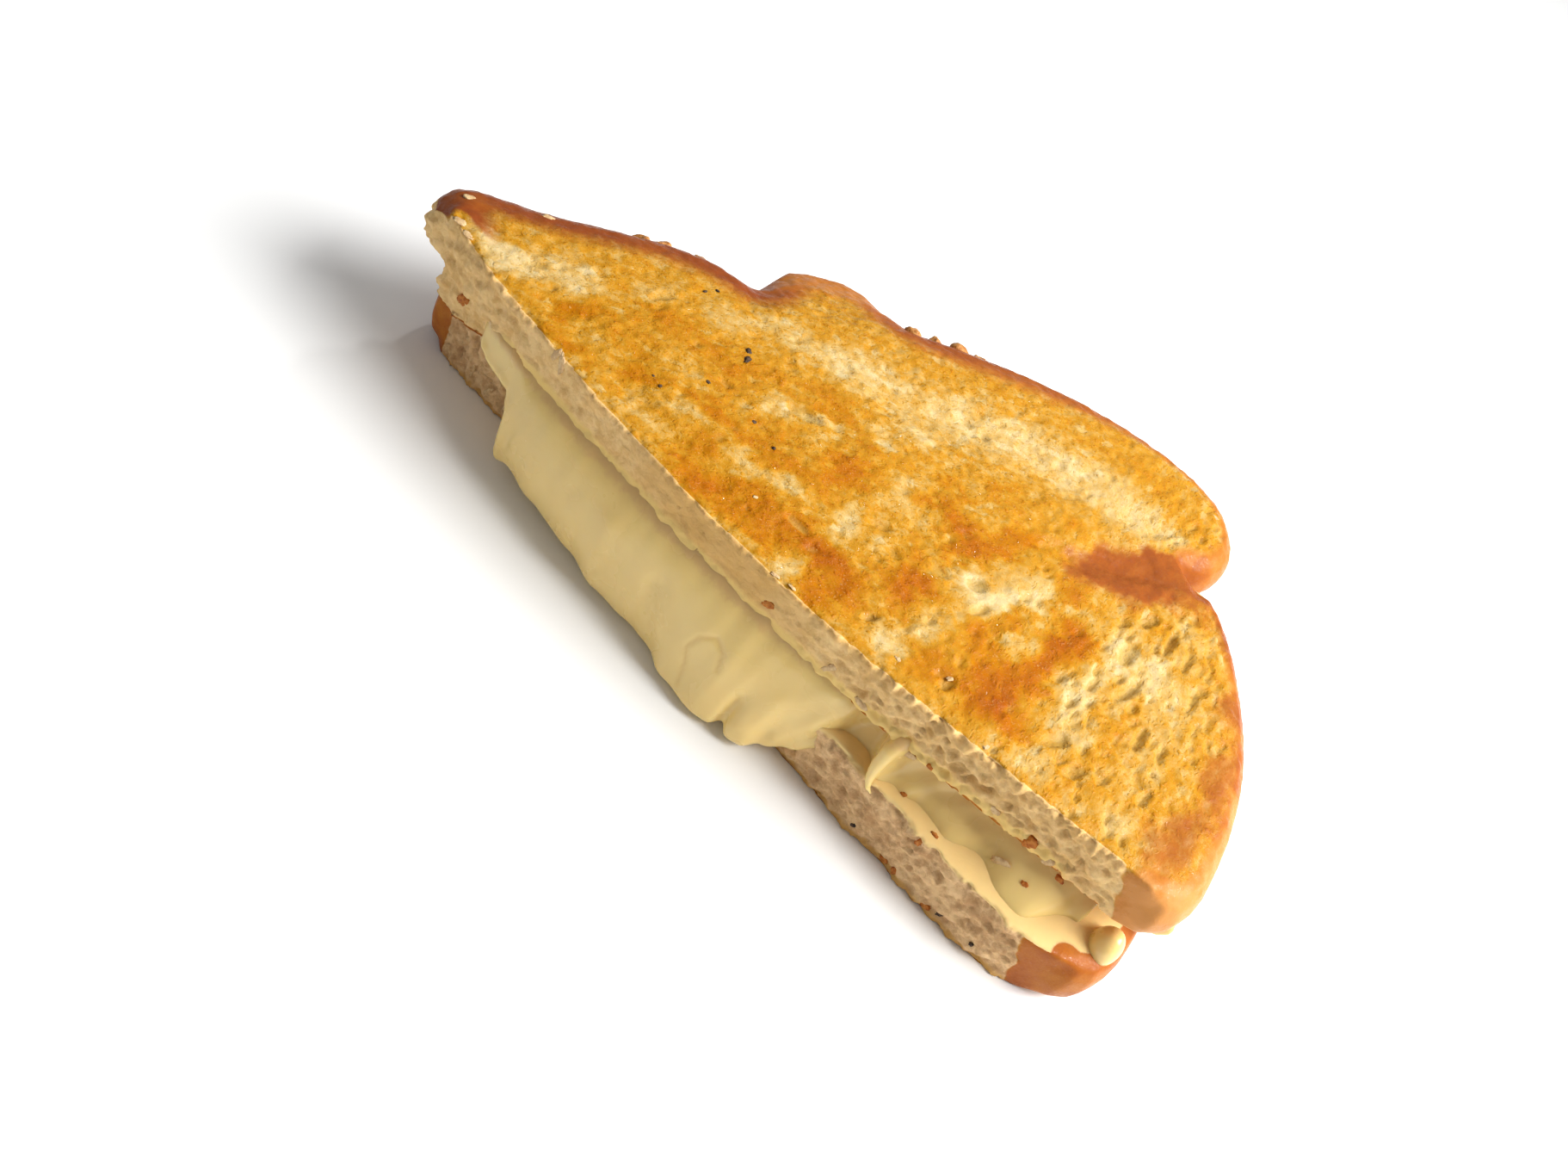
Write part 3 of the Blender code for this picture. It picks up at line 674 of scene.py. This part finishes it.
class SANDWICH_OT_bottom_slice(bpy.types.Operator):
    """Adds the toasted bottom slice"""

    bl_idname = "sandwich.bottom_slice"
    bl_label = "Bottom Slice"

    def execute(self, context):
        mesh = close_grained(whole_copy("bottom_slice"), "toasted_bottom_slice",
                             context.scene.sandwich_slices.grain, 14)
        finish = bread_finish("toasted bottom slice", TOAST_STOPS, CRUST_STOPS,
                              (0.82, 0.55, 0.28), (0.54, 0.31, 0.14), (0.84, 0.6, 0.25))
        piece = new_piece("toasted_bottom_slice", mesh, finish)
        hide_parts("bottom_slice")
        skin = Skin(piece)
        x, y, z = skin.at.T.copy()
        up = skin.facing[:, 2]
        at = skin.at.copy()
        from_cut = gap_to(at, at[side_points(skin, True)])
        from_crust = gap_to(at, at[side_points(skin, False)])
        cut = ease(skin.facing[:, 1], -0.45, -0.7) * ease(np.abs(x), 78.0, 76.0) * ease(y, 8.0, 4.0)
        cut *= ease(x + 0.25 * z + 1.5 * lumps(at, 4.0, 2, 12.0), 70.5, 68.0)
        under_cheese = ease(up, 0.5, 0.8) * ease(from_crust, 2.0, 4.0)
        on_cut = (cut > 0.8) & (z > 1.5)
        holes = scatter_pits(23, 200, x[on_cut], z[on_cut], (0.5, 1.3), (0.5, 0.9), (0.3, 0.9))
        holes = [(a, b, length, width, chance_turn(index), deep)
                 for index, (a, b, length, width, _, deep) in enumerate(holes)]
        torn = pit_depth(x + 0.3 * lumps(at, 1.2, 2, 8.0), z, holes) * cut
        skin.push(5.0 * ease(x, -60.0, -80.0), (1.0, 0.0, 0.0))
        skin.push(cut * (0.8 * lumps(at, (2.4, 2.4, 1.8), 4, 8.0) + 0.5 * lumps(at, 6.0, 2, 9.0)) - torn)
        skin.paint("level", 0.4 + 0.0 * x)
        skin.paint("crust", (1.0 - ease(up, -0.6, -0.9)) * (1.0 - cut))
        skin.paint("bake", 0.5 + 0.3 * ease(z, 5.0, 0.0) + 0.25 * lumps(at, 6.0, 3, 14.0))
        skin.paint("cut", np.maximum(cut, under_cheese))
        skin.paint("pit", np.clip(torn / 0.8, 0.0, 1.0))
        skin.paint("lobe", 1.0 + 0.0 * x)
        skin.paint("soak", np.maximum(ease(z, 11.6, 13.4) * cut, under_cheese))
        skin.paint("amber", ease(z, 2.5, 0.2) * cut)
        merge_hidden(mesh, (np.abs(up) > 0.9) & (from_cut > 6.0) & (from_crust > 6.0))
        return {"FINISHED"}


# The cheese that hangs out of the cut, at stations along it: (x, how far its top lies back from the
# bread, height of its lower edge, y of its lower edge, how far it bellies out between)
CURTAIN = (
    (-64.0, 2.0, 18.4, -1.6, 0.0),
    (-61.0, 0.3, 16.6, -4.6, 0.2),
    (-57.0, -0.1, 15.4, -5.4, 0.3),
    (-53.0, -0.2, 15.8, -6.0, 0.4),
    (-50.8, -0.2, 12.6, -6.6, 0.8),
    (-49.6, -0.2, 3.4, -7.4, 1.6),
    (-48.4, -0.2, 2.2, -8.0, 1.9),
    (-46.0, -0.3, 3.4, -8.4, 2.4),
    (-40.0, -0.3, 2.4, -9.0, 2.8),
    (-28.0, -0.3, 1.6, -10.0, 2.8),
    (-22.0, -0.3, 0.8, -10.8, 2.9),
    (-12.0, -0.4, 0.6, -11.0, 2.8),
    (-7.0, -0.4, 0.6, -12.0, 2.5),
    (-3.0, -0.4, 0.6, -13.6, 2.0),
    (4.0, -0.4, 0.5, -14.4, 1.7),
    (8.0, -0.3, 0.6, -13.8, 1.4),
    (9.6, -0.3, 1.6, -12.4, 1.3),
    (11.4, -0.2, 0.7, -13.2, 1.0),
    (14.0, 0.0, 0.8, -12.6, 0.8),
    (16.6, 0.3, 2.4, -10.4, 0.6),
    (20.0, 0.5, 4.4, -8.2, 0.3),
    (23.0, 1.2, 7.0, -7.2, 0.1),
    (25.0, 3.4, 9.2, -6.2, 0.0),
    (29.0, 4.8, 10.4, -6.4, 0.0),
    (31.0, 1.2, 9.4, -6.6, 0.2),
    (33.0, 0.4, 9.0, -6.6, 0.2),
    (35.5, 2.2, 9.4, -6.4, 0.0),
    (40.0, 3.8, 9.8, -6.4, 0.0),
    (45.0, 4.2, 10.6, -6.2, 0.0),
    (53.0, 4.0, 7.4, -5.8, 0.0),
    (58.0, 3.2, 10.8, -5.0, 0.0),
    (62.0, 2.8, 11.6, -4.0, 0.0),
    (66.0, 4.0, 12.4, -1.0, 0.0),
    (71.0, 8.0, 12.8, 0.6, 0.0),
)
CURTAIN_TOP = 22.6
# Ropes and creases in the hanging cheese: (points of its path as (x, z), half width, height)
CHEESE_FOLDS = (
    (((31.6, 22.0), (31.7, 17.0), (32.4, 13.6), (34.2, 12.2)), 1.5, 2.2),
    (((44.0, 21.0), (40.4, 18.0), (37.6, 13.6), (36.8, 9.0)), 1.5, 1.1),
    (((54.0, 20.0), (48.0, 19.0), (43.0, 15.4)), 0.9, 0.5),
    (((57.0, 18.0), (51.0, 16.0), (46.0, 12.0)), 1.0, 0.4),
    (((9.5, 9.0), (9.6, 5.0), (9.6, 0.5)), 1.0, -0.9),
    (((15.6, 7.0), (15.8, 4.0), (16.2, 1.5)), 1.0, -0.4),
    (((24.0, 20.0), (20.0, 13.0), (18.0, 7.0)), 1.3, 0.7),
    (((27.0, 17.0), (22.6, 11.6), (21.4, 8.6)), 0.9, -0.5),
    (((20.0, 20.0), (15.0, 13.0), (13.0, 6.0)), 2.2, 0.6),
    (((-50.6, 14.5), (-49.4, 9.0), (-49.2, 3.4)), 0.8, 0.9),
    (((-61.0, 17.8), (-58.0, 16.2), (-54.0, 16.8), (-51.6, 14.6)), 0.7, 0.7),
    (((-46.6, 21.0), (-46.0, 17.0), (-46.8, 12.0), (-48.4, 5.0)), 0.8, -0.35),
    (((-24.0, 16.0), (-23.0, 9.0), (-22.0, 2.0)), 2.4, 0.5),
    (((-12.0, 14.0), (-9.0, 7.0), (-7.6, 1.0)), 1.6, -0.6),
)
# Creases pressed into the front of the hanging cheese and darkened with painted shade: paths of points as (x, z)
CREASES = (
    ((-2.0, 10.8), (-0.8, 8.2), (0.0, 5.4), (0.5, 3.6)),
    ((-2.0, 10.8), (-1.4, 13.6), (0.8, 15.4), (3.0, 14.2), (4.2, 11.4)),
)


def from_path(x, z, path):
    """How far each point on the cut lies from a path across it."""
    nearest = np.full_like(x, 1e9)
    for (ax, az), (bx, bz) in zip(path, path[1:]):
        length = (bx - ax) ** 2 + (bz - az) ** 2
        share = np.clip(((x - ax) * (bx - ax) + (z - az) * (bz - az)) / length, 0.0, 1.0)
        nearest = np.minimum(nearest, np.hypot(x - ax - share * (bx - ax), z - az - share * (bz - az)))
    return nearest


def add_rope(shell, points, radii):
    """Adds a tapering rope of cheese along points on the sandwich."""
    ring = None
    for (x, y, z), radius in zip(points, radii):
        place = (Vector((x, y, z)) + Vector(CUT_MIDDLE)) * MM
        circle = bmesh.ops.create_circle(shell, segments=12, radius=radius * MM,
                                         matrix=Matrix.Translation(place), cap_ends=False)["verts"]
        edges = [edge for edge in shell.edges if edge.verts[0] in circle and edge.verts[1] in circle]
        if ring:
            bmesh.ops.bridge_loops(shell, edges=ring + edges)
        else:
            bmesh.ops.contextual_create(shell, geom=edges)
        ring = edges
    bmesh.ops.contextual_create(shell, geom=ring)


def add_drop(shell, middle, size):
    """Adds an oval drop of cheese."""
    place = Matrix.Translation((Vector(middle) + Vector(CUT_MIDDLE)) * MM) @ Matrix.Diagonal((*size, 1.0 / MM)) * MM
    bmesh.ops.create_icosphere(shell, subdivisions=3, radius=1.0, matrix=place)


def hanging_cheese(top_edge, low_edge):
    """The sheet of cheese that hangs out of the cut, as thick as the room behind it."""
    shell = bmesh.new()
    made = bmesh.ops.create_grid(shell, x_segments=260, y_segments=56, size=1.0)["verts"]
    along = np.array([vertex.co.x for vertex in made]) * 0.5 + 0.5
    down = 0.5 - np.array([vertex.co.y for vertex in made]) * 0.5
    x = CURTAIN[0][0] + along * (CURTAIN[-1][0] - CURTAIN[0][0])
    back, low, low_y, belly = (stations(x, CURTAIN, column) for column in (1, 2, 3, 4))
    flat = np.stack([x, 0 * x, 0 * x], 1)
    top = CURTAIN_TOP - 1.6 * ease(back, 0.6, 2.0) + 0.5 * lumps(flat, 3.0, 3, 30.0)
    low = low + 0.5 * lumps(flat, 2.5, 2, 31.0) * ease(low, 3.0, 6.0)
    low_y += (low_edge(x) - 0.9 - low_y) * ease(x, 21.0, 27.0) + 8.0 * ease(x, 62.0, 70.0)
    z = top + (low - top) * down
    top_y = top_edge(x) + back
    hollow = ease(back, 0.6, 3.0)
    share = down ** 1.2 * (1.0 - hollow) + ease(down, 0.05, 0.95) * hollow
    y = top_y + (low_y - top_y) * share - belly * np.sin(np.pi * down ** 0.9)
    y += 1.2 * (1.0 - hollow) * ease(down, 0.16, 0.0) + 1.6 * (1.0 - hollow) * ease(down, 0.93, 1.0)
    for path, width, height in CHEESE_FOLDS:
        y -= height * np.exp(-(from_path(x, z, path) / width) ** 2)
    inner = np.where(z > 13.2, top_y + 9.0, np.maximum(low_edge(x) + 1.0, y + 2.0))
    spots = [(Vector((px, py, pz)) + Vector(CUT_MIDDLE)) * MM for px, py, pz in zip(x, y, z)]
    for vertex, spot in zip(made, spots):
        vertex.co = spot
    depths = {(round(vertex.co.x, 7), round(vertex.co.z, 7)): depth for vertex, depth in zip(made, inner)}
    grown = bmesh.ops.extrude_face_region(shell, geom=shell.faces[:], use_keep_orig=True)["geom"]
    for vertex in grown:
        if isinstance(vertex, bmesh.types.BMVert):
            vertex.co.y = (depths[(round(vertex.co.x, 7), round(vertex.co.z, 7))] + CUT_MIDDLE[1]) * MM
    bmesh.ops.recalc_face_normals(shell, faces=shell.faces[:])
    return shell


def cheese_layer(top_edge):
    """The melted layer between the slices, drawn back from the cut where the hanging cheese hides it."""
    layer = whole_copy("cheese")
    bmesh.ops.bisect_plane(layer, geom=layer.verts[:] + layer.edges[:] + layer.faces[:],
                           plane_co=(0.0, 0.0, 13.6 * MM), plane_no=(0.0, 0.0, 1.0), clear_inner=True)
    bmesh.ops.triangle_fill(layer, use_beauty=True, edges=[edge for edge in layer.edges if edge.is_boundary])
    for vertex in layer.verts:
        x, y, _ = np.array(vertex.co) / MM - CUT_MIDDLE
        back = float(stations(np.array([x]), CURTAIN, 1)[0])
        inmost = float(top_edge(x)) + 1.8 + max(0.0, back) + 4.0 * float(ease(x, -60.0, -68.0))
        if y < inmost:
            vertex.co.y = (inmost + CUT_MIDDLE[1]) * MM
    return layer


class SANDWICH_OT_cheese(bpy.types.Operator):
    """Adds the melted cheese"""

    bl_idname = "sandwich.cheese"
    bl_label = "Cheese"

    def execute(self, context):
        top_edge = cut_line("top_slice", 19.0, 24.0)
        low_edge = cut_line("bottom_slice", 3.0, 13.0)
        shell = cheese_layer(top_edge)
        put_in(shell, hanging_cheese(top_edge, low_edge))
        add_rope(shell, ((31.6, -4.6, 20.0), (31.8, -6.4, 16.0), (32.4, -7.4, 13.6), (33.4, -7.8, 12.4), (34.6, -7.6, 11.9),
                         (35.2, -7.4, 11.8)), (1.5, 1.2, 0.9, 0.75, 0.6, 0.5))
        add_drop(shell, (76.0, 3.6, 12.6), (2.8, 3.4, 5.0))
        add_drop(shell, (74.6, 1.6, 9.0), (1.8, 2.0, 3.6))
        mesh = close_grained(shell, "melted_cheese", context.scene.sandwich_cheese.grain, 12)
        piece = new_piece("melted_cheese", mesh, cheese_finish())
        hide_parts("cheese")
        skin = Skin(piece)
        x, y, z = skin.at.T.copy()
        at = skin.at.copy()
        front = ease(skin.facing[:, 1], 0.0, -0.4) * ease(y, 6.0, 2.0)
        # Along the creases the cheese is pressed in a little and darkened with painted shade.
        crease = np.zeros_like(x)
        for path in CREASES:
            crease = np.maximum(crease, np.exp(-(from_path(x, z, path) / 0.4) ** 2))
        crease *= front
        swells = 0.7 * lumps(at, (8.0, 30.0, 26.0), 2, 20.0) + 0.12 * lumps(at, (2.5, 9.0, 9.0), 2, 21.0)
        skin.push(0.45 * front * swells * ease(z, 19.0, 14.0) - 0.16 * crease)
        skin.paint("crease", crease)
        skin.paint("crumbed", ease(z, 19.2, 21.8) * front)
        up = skin.facing[:, 2]
        merge_hidden(mesh, (np.abs(up) > 0.95) & (y > 9.0) & (gap_to(at, at[np.abs(up) < 0.6]) > 5.0))
        return {"FINISHED"}


# Small things stuck to the sandwich, as (across, along or up, half length, half width, turn in degrees);
# the ones on the cut are placed as seen against its front
PEPPER_ON_TOAST = (
    (-31.5, 24.6, 0.75, 0.5, 120), (-30.3, 22.8, 0.9, 0.55, 105), (-30.4, 12.6, 0.45, 0.35, 10),
    (-20.5, 13.5, 0.4, 0.3, 40), (-45.0, 28.0, 0.45, 0.3, 80), (-44.0, 30.3, 0.4, 0.3, 0),
    (-33.8, 4.5, 0.35, 0.3, 20), (-15.0, 12.2, 0.4, 0.3, 60), (-36.0, 5.2, 0.3, 0.25, 0),
)
PEPPER_ON_CUT = ((36.0, 3.8, 0.6, 0.4, 20), (55.5, 3.8, 0.7, 0.45, 50), (62.0, 4.2, 0.5, 0.4, 0))
FLAKES_ON_TOAST = (
    (-10.2, 2.2, 0.5, 0.3, 30), (23.0, -1.0, 0.7, 0.4, 0), (41.0, -1.5, 0.6, 0.4, 70), (30.5, 4.0, 1.1, 0.4, 60),
    (-75.0, -0.6, 1.2, 0.7, 20), (-72.4, -1.4, 1.0, 0.6, 0), (-79.0, 5.0, 1.0, 0.6, 40), (-70.0, 14.5, 1.1, 0.6, 40),
    (1.6, -6.0, 1.0, 0.35, 15), (4.4, -5.6, 0.7, 0.3, -10), (50.5, 65.4, 1.1, 0.7, 30), (43.4, 82.4, 0.6, 0.4, 0),
)
FLAKES_ON_CUT = (
    (-46.8, 32.2, 1.2, 0.6, 75), (-45.2, 31.4, 1.7, 0.55, 110), (17.0, 26.4, 1.5, 0.6, 60), (57.0, 22.5, 1.6, 0.8, 20),
    (24.0, 25.6, 1.3, 0.6, -10), (-66.0, 19.0, 1.6, 0.5, 60), (-63.0, 14.6, 1.5, 0.45, 100), (-58.4, 13.2, 1.3, 0.4, 60),
    (-54.0, 13.4, 1.2, 0.4, 75), (34.6, 25.0, 1.4, 0.6, 20), (50.0, 30.2, 1.2, 0.6, 0), (61.6, 30.4, 1.0, 0.6, 40),
)
BROWN_BITS_ON_CUT = (
    (45.0, 12.7, 1.1, 0.55, 80), (46.0, 16.3, 0.7, 0.5, 0), (38.6, 17.7, 0.6, 0.4, 30), (57.6, 30.7, 1.4, 0.9, 70),
    (65.5, 29.5, 0.9, 0.6, 0), (38.5, 26.6, 0.6, 0.4, 0), (61.5, 23.0, 0.7, 0.5, 20), (3.5, 26.6, 1.1, 0.7, 20),
    (43.6, 3.4, 1.2, 0.7, 30), (45.8, 3.2, 0.9, 0.6, 80), (53.0, 2.6, 1.1, 0.6, 10), (-67.6, 25.6, 1.3, 0.9, 40),
)
# Browned cheese that leaked out over the crust: (x, y, z, half sizes)
LACE = (
    (-60.2, 28.8, 26.6, 2.6, 1.9, 1.8), (-57.4, 31.6, 26.8, 2.2, 1.9, 1.6), (-54.4, 33.8, 26.4, 2.4, 1.7, 1.6),
    (-52.2, 35.4, 27.2, 1.6, 1.5, 1.3), (-19.6, 62.4, 28.0, 1.8, 1.4, 1.4), (-15.4, 65.8, 27.8, 1.6, 1.3, 1.2),
    (-11.6, 68.8, 28.0, 1.9, 1.5, 1.3), (-8.0, 71.2, 27.8, 1.5, 1.3, 1.2),
)
SIGHT = (-0.2, 1.0, -1.1)        # the way one looks at the cut from in front of it and above
FROM_ABOVE = (0.0, 0.0, -1.0)


def landing(pieces, place, direction):
    """Where something let go on its way to the pieces, through a place in millimetres, comes to rest on them."""
    direction = Vector(direction).normalized()
    start = (Vector(place) + Vector(CUT_MIDDLE)) * MM - direction * 0.05
    hits = [piece.ray_cast(start, direction) for piece in pieces]
    places = [hit[1] for hit in hits if hit[0]]
    if not places:
        raise RuntimeError("a small piece falls past the sandwich")
    return min(places, key=lambda spot: (spot - start).length)


def bits_mesh(name, pieces, on_toast, on_cut, flatness):
    """Small rough lumps set on the toast and on the cut."""
    bits = bmesh.new()
    settings = [((x, y, 40.0), FROM_ABOVE, bit) for x, y, *bit in on_toast]
    settings += [((x, -8.0, z), SIGHT, bit) for x, z, *bit in on_cut]
    for place, direction, (half_length, half_width, turn) in settings:
        spot = landing(pieces, place, direction)
        facing = Matrix.Rotation(0.0 if direction is FROM_ABOVE else math.radians(80), 4, "X")
        lump = Matrix.Translation(spot) @ facing @ Matrix.Rotation(math.radians(turn), 4, "Z")
        made = bmesh.ops.create_icosphere(bits, subdivisions=3, radius=1.0)["verts"]
        for vertex in made:
            roughness = 1.0 + 0.45 * noise.fractal(vertex.co * 1.6 + spot * 1000.0, 1.0, 2.0, 3)
            size = Vector((half_length, half_width, half_width * flatness)) * MM * roughness
            vertex.co = lump @ Vector(part * scale for part, scale in zip(vertex.co, size))
    mesh = bpy.data.meshes.new(name)
    bits.to_mesh(mesh)
    bits.free()
    mesh.shade_smooth()
    return mesh


def bit_finish(name, colour, pale, rough):
    """A small piece's own colour, in two tones."""
    finish = Finish(name)
    tone = finish.step(finish.clouds(0.7, 3.0, 0.6), 0.35, 0.65)
    normal = finish.bump(finish.clouds(0.3, 3.0, 0.6), 0.15)
    return finish.shade(base_color=finish.blend(tone, colour, pale), roughness=rough, normal=normal,
                        specular_ior_level=0.2)


class SANDWICH_OT_bits(bpy.types.Operator):
    """Adds the pepper, the torn flakes, the brown crumbs and the browned cheese on the crust"""

    bl_idname = "sandwich.bits"
    bl_label = "Small Pieces"

    def execute(self, context):
        under = [bpy.data.objects[name] for name in ("toasted_top_slice", "toasted_bottom_slice", "melted_cheese")]
        kinds = (
            ("pepper_specks", "toasted_bread", PEPPER_ON_TOAST, PEPPER_ON_CUT, 0.7, (0.03, 0.02, 0.014), (0.12, 0.07, 0.04)),
            ("torn_flakes", "bread_crumb", FLAKES_ON_TOAST, FLAKES_ON_CUT, 0.3, (0.6, 0.38, 0.18), (0.76, 0.54, 0.28)),
            ("brown_crumbs", "toasted_bread", (), BROWN_BITS_ON_CUT, 0.6, (0.42, 0.11, 0.014), (0.6, 0.22, 0.04)),
        )
        for name, slot, on_toast, on_cut, flatness, colour, pale in kinds:
            mesh = bits_mesh(name, under, on_toast, on_cut, flatness)
            new_piece(name, mesh, bit_finish(name.replace("_", " "), colour, pale, 0.55))
        lace = bmesh.new()
        for x, y, z, *size in LACE:
            add_drop(lace, (x, y, z), size)
        mesh = close_grained(lace, "browned_cheese", 0.3 * MM, 4)
        piece = new_piece("browned_cheese", mesh, bit_finish("browned cheese", (0.42, 0.15, 0.03), (0.62, 0.3, 0.09), 0.4))
        skin = Skin(piece)
        skin.push(0.8 * lumps(skin.at, 2.4, 3, 40.0))
        return {"FINISHED"}


def add_light(name, place, target, size, power, colour=(1.0, 1.0, 1.0)):
    """A square soft box that points at a target."""
    lamp = bpy.data.lights.new(name, "AREA")
    lamp.size = size
    lamp.energy = power
    lamp.color = colour
    light = bpy.data.objects.new(name, lamp)
    light.matrix_world = (
        Matrix.Translation(place) @ (Vector(target) - Vector(place)).to_track_quat("-Z", "Y").to_matrix().to_4x4()
    )
    bpy.context.scene.collection.objects.link(light)


class SANDWICH_OT_stage(bpy.types.Operator):
    """Adds the floor, the lights and the camera"""

    bl_idname = "sandwich.stage"
    bl_label = "Stage"

    def execute(self, context):
        settings = context.scene.sandwich_stage
        scene = context.scene
        shell = bmesh.new()
        bmesh.ops.create_grid(shell, x_segments=1, y_segments=1, size=3.0)
        mesh = bpy.data.meshes.new("floor")
        shell.to_mesh(mesh)
        shell.free()
        floor = bpy.data.objects.new("floor", mesh)
        scene.collection.objects.link(floor)
        paint = Finish("pale floor")
        mesh.materials.append(paint.shade(base_color=(*settings.floor_colour, 1.0), roughness=0.9))

        world = bpy.data.worlds.new("soft daylight")
        world.use_nodes = True
        world.node_tree.nodes["Background"].inputs["Color"].default_value = (1.0, 1.0, 1.0, 1.0)
        world.node_tree.nodes["Background"].inputs["Strength"].default_value = 0.3
        scene.world = world
        add_light("key", (0.5, 0.16, 0.52), (0, 0, 0), 0.45, 11.0)
        add_light("sparkle", (-0.1, 0.46, 0.52), (0, 0, 0), 0.05, 0.5)

        camera = bpy.data.cameras.new("camera")
        camera.lens = settings.lens
        camera.sensor_width = 36.0
        camera.clip_start = 0.01
        holder = bpy.data.objects.new("camera", camera)
        back = Vector((math.sin(settings.azimuth) * math.cos(settings.elevation),
                       -math.cos(settings.azimuth) * math.cos(settings.elevation),
                       math.sin(settings.elevation)))
        right = (-back).cross(Vector((0, 0, 1))).normalized()
        up = right.cross(-back)
        turned_right = right * math.cos(settings.roll) + up * math.sin(settings.roll)
        turned_up = up * math.cos(settings.roll) - right * math.sin(settings.roll)
        place = Vector(settings.target) + back * settings.distance
        holder.matrix_world = Matrix((
            (turned_right.x, turned_up.x, back.x, place.x),
            (turned_right.y, turned_up.y, back.y, place.y),
            (turned_right.z, turned_up.z, back.z, place.z),
            (0.0, 0.0, 0.0, 1.0),
        ))
        scene.collection.objects.link(holder)
        scene.camera = holder
        scene.view_settings.view_transform = "Standard"
        return {"FINISHED"}


class SANDWICH_PT_panel(bpy.types.Panel):
    """Shows a button for each piece of the sandwich"""

    bl_idname = "SANDWICH_PT_panel"
    bl_label = "Grilled Cheese Half"
    bl_space_type = "VIEW_3D"
    bl_region_type = "UI"
    bl_category = "Sandwich"

    def draw(self, context):
        for operator in OPERATORS:
            self.layout.operator(operator.bl_idname)


OPERATORS = (SANDWICH_OT_stage, SANDWICH_OT_bottom_slice, SANDWICH_OT_cheese, SANDWICH_OT_top_slice,
             SANDWICH_OT_bits)
SETTINGS = {"sandwich_slices": SliceSettings, "sandwich_cheese": CheeseSettings, "sandwich_stage": StageSettings}


def register():
    for kind in (*SETTINGS.values(), *OPERATORS, SANDWICH_PT_panel):
        bpy.utils.register_class(kind)
    for name, kind in SETTINGS.items():
        setattr(bpy.types.Scene, name, PointerProperty(type=kind))


def unregister():
    for name in SETTINGS:
        delattr(bpy.types.Scene, name)
    for kind in (SANDWICH_PT_panel, *reversed(OPERATORS), *reversed(SETTINGS.values())):
        bpy.utils.unregister_class(kind)


def main():
    register()
    bpy.ops.sandwich.stage()
    bpy.ops.sandwich.bottom_slice()
    bpy.ops.sandwich.cheese()
    bpy.ops.sandwich.top_slice()
    bpy.ops.sandwich.bits()


if __name__ == "__main__":
    main()
